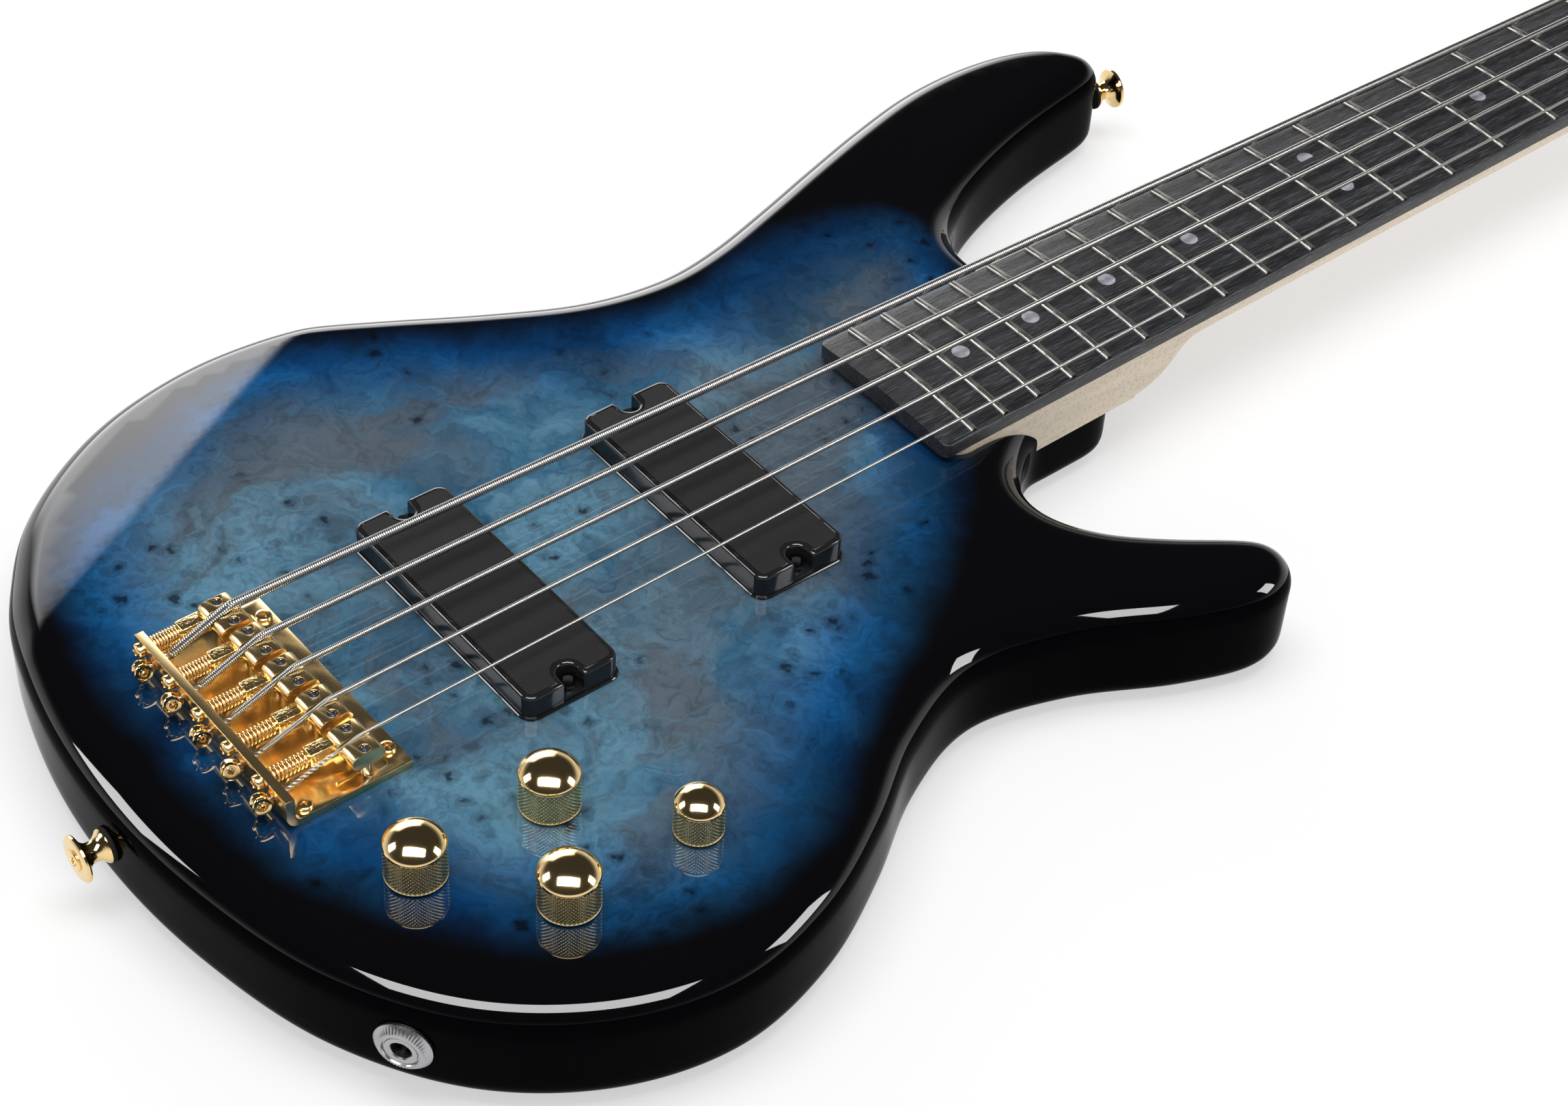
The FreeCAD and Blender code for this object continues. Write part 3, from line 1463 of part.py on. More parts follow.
black_screws += [placed(screw(cover_screw_head_radius, cover_screw_head_height, cover_screw_radius,
                              cover_screw_length), spot, -UP) for spot in cover_screw_spots]
black_screws += [in_head(placed(screw(cover_screw_head_radius, cover_screw_head_height, cover_screw_radius,
                                      cover_screw_length), spot, UP))
                 for spot in truss_cover_screw_spots]
save("black_screws", black_screws)
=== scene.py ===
"""Looks of a five-string bass guitar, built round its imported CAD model."""

import math

import bmesh
import bpy
import numpy as np
from mathutils import Matrix, Vector
from mathutils.geometry import convex_hull_2d, delaunay_2d_cdt


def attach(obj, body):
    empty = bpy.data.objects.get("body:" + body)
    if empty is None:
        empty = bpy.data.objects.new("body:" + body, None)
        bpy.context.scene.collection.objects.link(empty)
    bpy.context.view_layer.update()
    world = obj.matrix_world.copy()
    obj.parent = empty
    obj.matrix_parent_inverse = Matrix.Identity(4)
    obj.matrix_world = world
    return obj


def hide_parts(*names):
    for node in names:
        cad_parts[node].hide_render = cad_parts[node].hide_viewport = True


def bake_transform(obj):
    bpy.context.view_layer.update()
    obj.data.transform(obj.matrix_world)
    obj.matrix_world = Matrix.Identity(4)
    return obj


bl_info = {
    "name": "Bass Guitar Dressing",
    "version": (1, 0, 0),
    "blender": (4, 5, 0),
    "location": "3D View > Sidebar > Bass Guitar",
    "description": "Builds the lacquered body, neck, strings and plated hardware of a bass guitar",
    "category": "Object",
}

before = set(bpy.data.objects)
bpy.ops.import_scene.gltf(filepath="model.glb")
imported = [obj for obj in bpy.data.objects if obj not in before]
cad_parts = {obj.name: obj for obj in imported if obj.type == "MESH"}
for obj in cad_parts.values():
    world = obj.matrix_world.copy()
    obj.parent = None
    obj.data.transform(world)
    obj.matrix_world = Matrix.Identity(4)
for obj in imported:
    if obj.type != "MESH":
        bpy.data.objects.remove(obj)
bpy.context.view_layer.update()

# Lengths below are in millimetres, and MM turns them into metres
MM = 0.001
ROOT = "instrument"
STRINGS = ("b", "e", "a", "d", "g")
KNOBS = ("volume", "balance", "treble", "bass")

# Scale, board and nut
SCALE = 864.0
NUT_WIDTH = 45.0
LAST_WIDTH = 67.0
FRETS = 22
BODY_TOP = 39.0
BOARD_BOTTOM = 41.4
CROWN = 48.4
BOARD_RADIUS = 305.0
BOARD_END = 229.1
POCKET_END = 232.0
POCKET_FLOOR = 21.9
HEEL_FRONT = 315.2
NECK_HEEL_END = 321.2
NUT_REAR = 868.5
HEAD_TILT = 5.0
HEAD_BACK = -14.0
BOLT_ROWS = (20.0, 62.0)
BOLT_SPREAD = 19.0
WELL_RADIUS = 7.1
WELL_DEPTH = 4.3

# Strings
DIAMETERS = (3.30, 2.54, 2.16, 1.65, 1.14)
TURN_LENGTHS = (0.76, 0.66, 0.58, 0.48, 0.40)
COMPENSATIONS = (4.6, 3.7, 2.7, 1.7, 1.3)
WINDING_STARTS = (0.12, 0.12, 0.13, 0.15, 0.62)
BRIDGE_SPACING = 16.8
NUT_SPACING = 9.2
POST_DISTANCES = (44.0, 94.0, 144.0, 119.0, 69.0)
POST_OFFSETS = (27.0, 24.0, 20.0, -21.0, -26.0)

# Body outline as shares: along, from the rear to the horn's tip, and across, of the half width
BODY_REAR = -70.0
HALF_WIDTH = 164.0
UPPER_TIP = 437.2
LOWER_TIP = 296.2
BASS_SIDE = (
    (0.758, 0.299), (0.763, 0.366), (0.779, 0.433), (0.805, 0.488), (0.834, 0.530),
    (0.874, 0.573), (0.909, 0.602), (0.941, 0.622), (0.968, 0.637), (0.983, 0.648),
    (0.9935, 0.666), (0.9994, 0.697), (0.9994, 0.733), (0.9935, 0.765), (0.976, 0.820),
    (0.945, 0.860), (0.899, 0.878), (0.846, 0.868), (0.789, 0.828), (0.726, 0.771),
    (0.665, 0.713), (0.6075, 0.667), (0.560, 0.652), (0.503, 0.683), (0.442, 0.768),
    (0.383, 0.869), (0.337, 0.945), (0.304, 0.985), (0.2564, 1.012), (0.209, 1.003),
    (0.165, 0.965), (0.118, 0.882), (0.082, 0.784), (0.055, 0.667), (0.032, 0.537),
    (0.008, 0.274))
TREBLE_SIDE = (
    (0.011, -0.274), (0.046, -0.561), (0.115, -0.799), (0.210, -0.948), (0.311, -1.0),
    (0.413, -0.954), (0.503, -0.851), (0.585, -0.732), (0.680, -0.659), (0.776, -0.707),
    (0.872, -0.814), (0.945, -0.866), (0.980, -0.848), (0.995, -0.816), (1.0, -0.774),
    (0.995, -0.731), (0.981, -0.698), (0.929, -0.604), (0.885, -0.500), (0.866, -0.396),
    (0.876, -0.305))

# Where the blue of the burst gives way to black, as shares of the body's length and half width
BLUE_EDGE = (
    (0.325, 0.875), (0.37, 0.79), (0.43, 0.69), (0.50, 0.60), (0.56, 0.55), (0.63, 0.60),
    (0.69, 0.60), (0.74, 0.52), (0.75, 0.40), (0.73, 0.20), (0.66, 0.0), (0.61, -0.20),
    (0.575, -0.30), (0.54, -0.39), (0.50, -0.49), (0.47, -0.55), (0.435, -0.60),
    (0.39, -0.69), (0.35, -0.78), (0.305, -0.85), (0.25, -0.88), (0.20, -0.85),
    (0.145, -0.75), (0.11, -0.65), (0.08, -0.51), (0.06, -0.35), (0.048, -0.20),
    (0.044, 0.04), (0.047, 0.30), (0.060, 0.53), (0.080, 0.655), (0.110, 0.75), (0.185, 0.86),
    (0.255, 0.905))

# Headstock outline as shares of its length and half width
HEAD_LENGTH = 186.0
HEAD_HALF = 40.0
HEAD_UPPER = ((0.0, 0.5625), (0.05, 0.62), (0.10, 0.72), (0.22, 1.0), (0.45, 0.97), (0.72, 0.85),
              (0.90, 0.68), (0.985, 0.40))
HEAD_LOWER = ((1.0, 0.06), (0.97, -0.30), (0.88, -0.62), (0.70, -0.81), (0.45, -0.94),
              (0.22, -1.0), (0.10, -0.72), (0.05, -0.62), (0.0, -0.5625))

# Forearm bevel: its crease and slope
BEVEL_FRONT = (90.0, 148.5)
BEVEL_REAR = (-43.0, 76.0)

# Bridge
WALL_INNER = -30.0
WALL_OUTER = -33.0
WALL_TOP = 51.0
PLATE_FRONT = 10.6
PLATE_HALF = 42.8
PLATE_TOP = 41.8
CHANNEL_FLOOR = 41.0
SCREW_AXIS_RISE = 9.0
SCREW_AXIS_SHIFT = 5.2
SADDLE_FRONT = 4.0
SADDLE_REAR = 7.6
BOSS_LENGTH = 8.0
STRING_HOLE = 45.0

# Pickups and controls
PICKUP_X = (156.0, 66.0)
PICKUP_LENGTH = 97.0
PICKUP_WIDTH = 35.0
PICKUP_TOP = 48.0
KNOB_PLACES = ((34.8, -78.8), (-12.0, -78.0), (17.0, -113.2), (64.0, -113.0))
KNOB_RADII = (9.6, 9.6, 9.6, 7.8)
KNOB_HEIGHTS = (18.0, 18.0, 18.0, 16.0)
KNOB_FOOT = 39.6

# Jack and strap buttons
JACK_PLACE = (-41.255, -114.314, 19.4)
JACK_TURN = 213.37
REAR_BUTTON = (-70.0, 0.0, 19.5)
HORN_BUTTON = (437.0, 115.0, 19.5)
HORN_TURN = -9.0

# Camera of the photograph
CAMERA_PLACE = (-0.324227, -0.583097, 0.726419)
CAMERA_AZIMUTH = -41.4066
CAMERA_ELEVATION = 43.2731
CAMERA_ROLL = 3.80054
CAMERA_LENS = 71.34
PANEL_AZIMUTH = 68.0


# Settings that a user would change
class BodySettings(bpy.types.PropertyGroup):
    edge_round: bpy.props.FloatProperty(
        name="Edge Rounding", description="Radius of the rounded top edge",
        default=0.0105, min=0.002, max=0.012, unit="LENGTH", subtype="DISTANCE")
    cutaway_round: bpy.props.FloatProperty(
        name="Cutaway Rounding", description="Extra edge radius where the outline turns inwards",
        default=0.0045, min=0.0, max=0.008, unit="LENGTH", subtype="DISTANCE")
    bevel_slope: bpy.props.FloatProperty(
        name="Forearm Slope", description="Slope of the forearm bevel",
        default=math.radians(10.5), min=0.0, max=math.radians(20), unit="ROTATION", subtype="ANGLE")
    black: bpy.props.FloatVectorProperty(
        name="Burst Black", description="Colour of the edge and the sides",
        default=(0.0014, 0.0014, 0.0020), size=3, min=0, max=1, subtype="COLOR")
    rim_blue: bpy.props.FloatVectorProperty(
        name="Rim Stain", description="Stain that deepens the wood just inside the black",
        default=(0.07, 0.40, 0.78), size=3, min=0, max=1, subtype="COLOR")
    mid_blue: bpy.props.FloatVectorProperty(
        name="Middle Blue", description="Blue clouds of the burl",
        default=(0.036, 0.112, 0.190), size=3, min=0, max=1, subtype="COLOR")
    pale_blue: bpy.props.FloatVectorProperty(
        name="Pale Blue", description="Lightest clouds of the burl",
        default=(0.096, 0.216, 0.305), size=3, min=0, max=1, subtype="COLOR")
    burl_grey: bpy.props.FloatVectorProperty(
        name="Burl Grey", description="Grey wood that shows through the stain",
        default=(0.082, 0.096, 0.112), size=3, min=0, max=1, subtype="COLOR")
    eye_dark: bpy.props.FloatVectorProperty(
        name="Burl Eyes", description="Dark eyes and swirls of the burl",
        default=(0.010, 0.012, 0.018), size=3, min=0, max=1, subtype="COLOR")


class NeckSettings(bpy.types.PropertyGroup):
    maple: bpy.props.FloatVectorProperty(
        name="Maple", description="Colour of the neck's wood",
        default=(0.88, 0.75, 0.58), size=3, min=0, max=1, subtype="COLOR")
    board: bpy.props.FloatVectorProperty(
        name="Board", description="Colour of the dark fretboard",
        default=(0.016, 0.0165, 0.018), size=3, min=0, max=1, subtype="COLOR")
    board_streak: bpy.props.FloatVectorProperty(
        name="Board Streaks", description="Colour of the paler grain of the fretboard",
        default=(0.085, 0.087, 0.092), size=3, min=0, max=1, subtype="COLOR")
    fret_width: bpy.props.FloatProperty(
        name="Fret Width", description="Width of a fret's crown",
        default=0.0026, min=0.001, max=0.004, unit="LENGTH", subtype="DISTANCE")
    fret_height: bpy.props.FloatProperty(
        name="Fret Height", description="Height of a fret's crown above the board",
        default=0.0011, min=0.0005, max=0.0016, unit="LENGTH", subtype="DISTANCE")
    dot_radius: bpy.props.FloatProperty(
        name="Dot Radius", description="Radius of the position marks",
        default=0.00325, min=0.001, max=0.005, unit="LENGTH", subtype="DISTANCE")


class StringSettings(bpy.types.PropertyGroup):
    steel: bpy.props.FloatVectorProperty(
        name="String Steel", description="Colour of the wound strings",
        default=(0.52, 0.51, 0.49), size=3, min=0, max=1, subtype="COLOR")
    groove_share: bpy.props.FloatProperty(
        name="Groove Depth", description="Depth between two turns, as a share of one turn's length",
        default=0.20, min=0.0, max=0.5)
    sides: bpy.props.IntProperty(
        name="Sides", description="Flats round a string", default=10, min=6, max=24)


class HardwareSettings(bpy.types.PropertyGroup):
    gold: bpy.props.FloatVectorProperty(
        name="Gold", description="Colour of the plated hardware",
        default=(0.93, 0.68, 0.33), size=3, min=0, max=1, subtype="COLOR")
    gold_roughness: bpy.props.FloatProperty(
        name="Gold Roughness", description="Roughness of the polished plating",
        default=0.07, min=0.0, max=1.0, subtype="FACTOR")
    knurl_depth: bpy.props.FloatProperty(
        name="Knurl Depth", description="Depth of the diamond pattern on the knobs",
        default=0.00032, min=0.0, max=0.001, unit="LENGTH", subtype="DISTANCE")
    knurl_columns: bpy.props.IntProperty(
        name="Knurl Columns", description="Diamonds round a large knob", default=46, min=12, max=90)
    spring_wire: bpy.props.FloatProperty(
        name="Spring Wire", description="Radius of the springs' wire",
        default=0.00042, min=0.0001, max=0.0006, unit="LENGTH", subtype="DISTANCE")
    spring_turns: bpy.props.FloatProperty(
        name="Spring Turns", description="Turns of each spring", default=9.0, min=3.0, max=14.0)


class PickupSettings(bpy.types.PropertyGroup):
    plastic: bpy.props.FloatVectorProperty(
        name="Shell", description="Colour of the pickups' shells",
        default=(0.018, 0.018, 0.019), size=3, min=0, max=1, subtype="COLOR")
    edge: bpy.props.FloatProperty(
        name="Edge Width", description="Width of the glossy bevel round a pickup's top",
        default=0.0013, min=0.0003, max=0.003, unit="LENGTH", subtype="DISTANCE")


class StageSettings(bpy.types.PropertyGroup):
    floor: bpy.props.FloatVectorProperty(
        name="Floor", description="Colour of the floor",
        default=(0.90, 0.90, 0.90), size=3, min=0, max=1, subtype="COLOR")
    soft_power: bpy.props.FloatProperty(
        name="Soft Light", description="Power of the overhead soft light",
        default=30.0, min=0.0, max=500.0, unit="POWER")
    panel_light: bpy.props.FloatProperty(
        name="Far Panel", description="Brightness of the far panel that the forearm bevel mirrors",
        default=5.2, min=0.0, max=30.0)
    strip_power: bpy.props.FloatProperty(
        name="Strip Light", description="Power of the strips that only show in gloss",
        default=46.0, min=0.0, max=2000.0, unit="POWER")


# Arrays, outlines and plain shapes
def board_half(x):
    share = (SCALE - x) / (SCALE * (1 - 2 ** (-FRETS / 12)))
    return (NUT_WIDTH + (LAST_WIDTH - NUT_WIDTH) * share) / 2


def arch(y):
    """Height of the board's round top above its lowest possible level, for a place across it."""
    return CROWN - BOARD_RADIUS + np.sqrt(BOARD_RADIUS ** 2 - np.asarray(y) ** 2)


def spaced(points, spacing, closed=True):
    """Points at an even spacing along a polyline."""
    points = np.asarray(points, float)
    if closed:
        points = np.vstack([points, points[:1]])
    steps = np.linalg.norm(np.diff(points, axis=0), axis=1)
    along = np.concatenate([[0], np.cumsum(steps)])
    count = max(3, int(round(along[-1] / spacing)))
    marks = np.linspace(0, along[-1], count + 1)
    if closed:
        marks = marks[:-1]
    return np.stack([np.interp(marks, along, points[:, i]) for i in range(points.shape[1])], 1)


def curved(points, steps=16, closed=True):
    """Smooth curve through points, as a dense polyline."""
    points = [Vector((*p, 0)) if len(p) == 2 else Vector(p) for p in points]
    count = len(points)
    found = []
    for index in range(count if closed else count - 1):
        a = points[(index - 1) % count] if closed or index > 0 else points[0] * 2 - points[1]
        b = points[index]
        c = points[(index + 1) % count]
        d = points[(index + 2) % count] if closed or index < count - 2 else c * 2 - b
        k0 = max((b - a).length, 1e-9) ** 0.5
        k1 = max((c - b).length, 1e-9) ** 0.5
        k2 = max((d - c).length, 1e-9) ** 0.5
        way_b = ((b - a) / k0 - (c - a) / (k0 + k1) + (c - b) / k1) * k1
        way_c = ((c - b) / k1 - (d - b) / (k1 + k2) + (d - c) / k2) * k1
        for step in range(steps):
            t = step / steps
            found.append(b * (2 * t ** 3 - 3 * t ** 2 + 1) + way_b * (t ** 3 - 2 * t ** 2 + t)
                         + c * (3 * t ** 2 - 2 * t ** 3) + way_c * (t ** 3 - t ** 2))
    if not closed:
        found.append(points[-1])
    return np.array([tuple(p) for p in found])


def faired(loop, passes):
    """Evens out small kinks of a closed loop."""
    for _ in range(passes):
        loop = loop * 0.5 + (np.roll(loop, 1, 0) + np.roll(loop, -1, 0)) * 0.25
    return loop


def turning(loop):
    """1 for a counter-clockwise loop and -1 for a clockwise one."""
    x, y = loop[:, 0], loop[:, 1]
    return 1 if np.sum(x * np.roll(y, -1) - np.roll(x, -1) * y) > 0 else -1


def outward(loop):
    """Unit normals of a closed loop, in the plane."""
    way = np.roll(loop, -1, 0) - np.roll(loop, 1, 0)
    way /= np.linalg.norm(way, axis=1)[:, None]
    return np.stack([way[:, 1], -way[:, 0]], 1) * turning(loop)


def inside(loop, points):
    """Which points lie inside a closed loop."""
    x, y = points[:, 0][:, None], points[:, 1][:, None]
    a, b = loop, np.roll(loop, -1, 0)
    crosses = (a[:, 1] > y) != (b[:, 1] > y)
    rise = np.where(np.abs(b[:, 1] - a[:, 1]) < 1e-12, 1e-12, b[:, 1] - a[:, 1])
    hit = x < (b[:, 0] - a[:, 0]) * (y - a[:, 1]) / rise + a[:, 0]
    return (crosses & hit).sum(1) % 2 == 1


def distance_to(loop, points):
    """Shortest distance from each point to a closed loop's segments."""
    a, b = loop, np.roll(loop, -1, 0)
    run = b - a
    square = np.maximum((run ** 2).sum(1), 1e-12)
    found = np.empty(len(points))
    for start in range(0, len(points), 2000):
        part = points[start:start + 2000]
        gap = part[:, None, :] - a[None]
        t = np.clip((gap * run[None]).sum(2) / square, 0, 1)
        near = gap - run[None] * t[..., None]
        found[start:start + 2000] = np.sqrt((near ** 2).sum(2)).min(1)
    return found


def skin(rings, start_cap=True, end_cap=True):
    """Points and faces of a tube through rings of equal counts."""
    rings = np.asarray(rings, float)
    count, around = rings.shape[:2]
    faces = []
    for ring in range(count - 1):
        low = ring * around
        high = low + around
        for index in range(around):
            following = (index + 1) % around
            faces.append((low + index, low + following, high + following, high + index))
    if start_cap:
        faces.append(tuple(range(around))[::-1])
    if end_cap:
        faces.append(tuple(range((count - 1) * around, count * around)))
    return rings.reshape(-1, 3), faces


def circle(radius, sides, height=0.0):
    return [(radius * math.cos(2 * math.pi * k / sides), radius * math.sin(2 * math.pi * k / sides),
             height) for k in range(sides)]


def level(loop, height):
    """Plane loop at one height."""
    loop = np.asarray(loop, float)[:, :2]
    return np.column_stack([loop, np.full(len(loop), height)])


def lathe(profile, sides):
    """Solid of revolution about Z of (radius, height) pairs, with single points on the axis."""
    points = []
    rows = []
    for radius, height in profile:
        if radius <= 1e-9:
            rows.append([len(points)])
            points.append((0, 0, height))
            continue
        rows.append(list(range(len(points), len(points) + sides)))
        points += circle(radius, sides, height)
    faces = []
    for low, high in zip(rows, rows[1:]):
        for index in range(sides):
            following = (index + 1) % sides
            a, b = low[index % len(low)], low[following % len(low)]
            c, d = high[following % len(high)], high[index % len(high)]
            face = []
            for corner in (a, b, c, d):
                if corner not in face:
                    face.append(corner)
            if len(face) > 2:
                faces.append(tuple(face))
    if len(rows[0]) > 1:
        faces.append(tuple(rows[0])[::-1])
    if len(rows[-1]) > 1:
        faces.append(tuple(rows[-1]))
    return np.array(points, float), faces


def box(low, high):
    x0, y0, z0 = low
    x1, y1, z1 = high
    points = [(x0, y0, z0), (x1, y0, z0), (x1, y1, z0), (x0, y1, z0),
              (x0, y0, z1), (x1, y0, z1), (x1, y1, z1), (x0, y1, z1)]
    faces = [(3, 2, 1, 0), (4, 5, 6, 7), (0, 1, 5, 4), (1, 2, 6, 5), (2, 3, 7, 6), (3, 0, 4, 7)]
    return np.array(points, float), faces


def slab(loop, bottom, top):
    """Flat-ended solid over a plane loop."""
    return skin([level(loop, bottom), level(loop, top)])


def rounded_rectangle(x0, x1, y0, y1, radius, steps=8):
    loop = []
    for cx, cy, start in ((x1 - radius, y1 - radius, 0), (x0 + radius, y1 - radius, 90),
                          (x0 + radius, y0 + radius, 180), (x1 - radius, y0 + radius, 270)):
        for step in range(steps + 1):
            angle = math.radians(start + 90 * step / steps)
            loop.append((cx + radius * math.cos(angle), cy + radius * math.sin(angle)))
    return np.array(loop)


def several(*shapes):
    """One list of points and faces from several."""
    points = []
    faces = []
    shift = 0
    for shape_points, shape_faces in shapes:
        points.append(np.asarray(shape_points, float))
        faces.extend(tuple(index + shift for index in face) for face in shape_faces)
        shift += len(shape_points)
    return np.vstack(points), faces


def moved(shape, matrix):
    points, faces = shape
    turned = np.asarray(points) @ np.array(matrix.to_3x3()).T + np.array(matrix.translation)
    return turned, faces


def pointing(place, direction):
    """Matrix that takes +Z to a direction and the origin to a place."""
    turn = Vector((0, 0, 1)).rotation_difference(Vector(direction)).to_matrix().to_4x4()
    return Matrix.Translation(Vector(place)) @ turn


HEAD_FRAME = (Matrix.Translation(Vector((NUT_REAR, 0, BOARD_BOTTOM)))
              @ Matrix.Rotation(math.radians(HEAD_TILT), 4, "Y"))


# Objects from points and faces
def add_object(name, shape):
    """Object with a closed mesh whose faces point outwards, from millimetres."""
    points, faces = shape
    mesh = bpy.data.meshes.new(name)
    mesh.from_pydata((np.asarray(points) * MM).tolist(), [], faces)
    mesh.validate()
    work = bmesh.new()
    work.from_mesh(mesh)
    bmesh.ops.recalc_face_normals(work, faces=work.faces)
    work.to_mesh(mesh)
    work.free()
    piece = bpy.data.objects.new(name, mesh)
    bpy.context.scene.collection.objects.link(piece)
    return piece


def baked(piece):
    """Makes the modifiers' result the piece's plain mesh."""
    bpy.context.view_layer.update()
    graph = bpy.context.evaluated_depsgraph_get()
    mesh = bpy.data.meshes.new_from_object(piece.evaluated_get(graph),
                                           preserve_all_data_layers=True, depsgraph=graph)
    piece.modifiers.clear()
    old = piece.data
    piece.data = mesh
    bpy.data.meshes.remove(old)
    mesh.name = piece.name
    return piece


def shape_of(piece):
    """Points, in millimetres, and faces of a piece."""
    mesh = piece.data
    return (np.array([v.co for v in mesh.vertices]) / MM,
            [tuple(face.vertices) for face in mesh.polygons])


def remove(*objects):
    for thing in objects:
        mesh = thing.data
        bpy.data.objects.remove(thing)
        if mesh and mesh.users == 0:
            bpy.data.meshes.remove(mesh)


def combined(piece, tools, operation="DIFFERENCE"):
    """Cuts or joins closed solids exactly."""
    for tool in tools:
        modifier = piece.modifiers.new("combine", "BOOLEAN")
        modifier.operation = operation
        modifier.solver = "EXACT"
        modifier.object = tool
    baked(piece)
    remove(*tools)
    return piece


def softened(piece, width, segments=2, angle=30):
    """Rounds the sharp edges by a width in millimetres."""
    modifier = piece.modifiers.new("soft edges", "BEVEL")
    modifier.width = width * MM
    modifier.segments = segments
    modifier.limit_method = "ANGLE"
    modifier.angle_limit = math.radians(angle)
    modifier.use_clamp_overlap = True
    modifier.miter_outer = "MITER_ARC"
    return baked(piece)


def dressed(piece, material, body, nodes=(), angle=32):
    """Finishes a piece: material, shading, the body it rides on and what it stands for."""
    mesh = piece.data
    mesh.materials.clear()
    mesh.materials.append(material)
    if angle is not None:
        mesh.shade_smooth()
        mesh.set_sharp_from_angle(angle=math.radians(angle))
    if body:
        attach(piece, body)
    if nodes:
        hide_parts(*nodes)
    return piece


def refinish(node, material):
    """Gives a CAD node its material."""
    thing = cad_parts[node]
    thing.data.materials.clear()
    thing.data.materials.append(material)


# Node trees
class Nodes:
    """Adds and links the nodes of one tree."""

    def __init__(self, tree):
        self.tree = tree

    def add(self, kind, values=None, **settings):
        node = self.tree.nodes.new(kind)
        for key, value in settings.items():
            setattr(node, key, value)
        for key, value in (values or {}).items():
            if isinstance(value, bpy.types.NodeSocket):
                self.tree.links.new(value, node.inputs[key])
            else:
                node.inputs[key].default_value = value
        return node

    def math(self, operation, first, second=None, third=None):
        values = {0: first}
        if second is not None:
            values[1] = second
        if third is not None:
            values[2] = third
        return self.add("ShaderNodeMath", values, operation=operation).outputs[0]

    def vector(self, operation, first, second=None):
        values = {0: first}
        if second is not None:
            values[1] = second
        return self.add("ShaderNodeVectorMath", values, operation=operation).outputs[0]

    def noise(self, place, scale, detail, roughness=0.5, distortion=0.0):
        """Outputs of a noise texture: its value and its colour."""
        return self.add("ShaderNodeTexNoise", {
            "Vector": place, "Scale": scale, "Detail": detail, "Roughness": roughness,
            "Distortion": distortion}).outputs

    def ramp(self, value, stops):
        """Colour ramp with stops of a place and a colour or grey."""
        node = self.add("ShaderNodeValToRGB", {0: value})
        elements = node.color_ramp.elements
        while len(elements) < len(stops):
            elements.new(0.5)
        for element, (place, colour) in zip(elements, stops):
            element.position = place
            if isinstance(colour, (int, float)):
                colour = (colour, colour, colour)
            element.color = (*colour, 1)
        return node.outputs[0]

    def blend(self, factor, first, second, mode="MIX"):
        node = self.tree.nodes.new("ShaderNodeMix")
        node.data_type = "RGBA"
        node.blend_type = mode
        for key, value in ((0, factor), (6, first), (7, second)):
            if isinstance(value, bpy.types.NodeSocket):
                self.tree.links.new(value, node.inputs[key])
            elif key == 0:
                node.inputs[key].default_value = value
            else:
                node.inputs[key].default_value = (*value, 1)
        return node.outputs[2]


def geometry_tree(name, inputs):
    """New geometry tree with named inputs, and its helper, input node and output node."""
    tree = bpy.data.node_groups.new(name, "GeometryNodeTree")
    tree.is_modifier = True
    tree.interface.new_socket(name="Geometry", in_out="INPUT", socket_type="NodeSocketGeometry")
    for label, kind, default in inputs:
        socket = tree.interface.new_socket(name=label, in_out="INPUT", socket_type=kind)
        if default is not None:
            socket.default_value = default
    tree.interface.new_socket(name="Geometry", in_out="OUTPUT", socket_type="NodeSocketGeometry")
    nodes = Nodes(tree)
    return tree, nodes, nodes.add("NodeGroupInput"), nodes.add("NodeGroupOutput")


def end_tree(nodes, geometry, source, output):
    """Realizes instances, sets the material and ends a geometry tree."""
    real = nodes.add("GeometryNodeRealizeInstances", {0: geometry})
    painted = nodes.add("GeometryNodeSetMaterial", {"Geometry": real.outputs[0],
                                                    "Material": source.outputs["Material"]})
    nodes.tree.links.new(painted.outputs[0], output.inputs[0])


def run_tree(piece, tree, values):
    """Runs a geometry tree on a piece and keeps its plain mesh."""
    modifier = piece.modifiers.new(tree.name, "NODES")
    modifier.node_group = tree
    for item in tree.interface.items_tree:
        if item.item_type == "SOCKET" and item.in_out == "INPUT" and item.name in values:
            modifier[item.identifier] = values[item.name]
    return baked(piece)


def points_object(name, places, facings=None, edges=()):
    """Object of loose points, in metres, that a geometry tree builds on."""
    mesh = bpy.data.meshes.new(name)
    mesh.from_pydata([tuple(Vector(place) * MM) for place in places], list(edges), [])
    if facings is not None:
        attribute = mesh.attributes.new("facing", "FLOAT_VECTOR", "POINT")
        attribute.data.foreach_set("vector", np.array(facings, np.float32).ravel())
    piece = bpy.data.objects.new(name, mesh)
    bpy.context.scene.collection.objects.link(piece)
    return piece


def scatter_tree():
    """Tree that sets copies of one piece on points, each turned to face its own way."""
    found = bpy.data.node_groups.get("Set on places")
    if found:
        return found
    tree, nodes, source, output = geometry_tree("Set on places", (
        ("Template", "NodeSocketObject", None), ("Material", "NodeSocketMaterial", None)))
    template = nodes.add("GeometryNodeObjectInfo", {"Object": source.outputs["Template"]})
    facing = nodes.add("GeometryNodeInputNamedAttribute", {"Name": "facing"},
                       data_type="FLOAT_VECTOR")
    turn = nodes.add("FunctionNodeAlignRotationToVector", {"Vector": facing.outputs[0]}, axis="Z")
    copies = nodes.add("GeometryNodeInstanceOnPoints", {
        "Points": source.outputs["Geometry"], "Instance": template.outputs["Geometry"],
        "Rotation": turn.outputs[0]})
    end_tree(nodes, copies.outputs[0], source, output)
    return tree


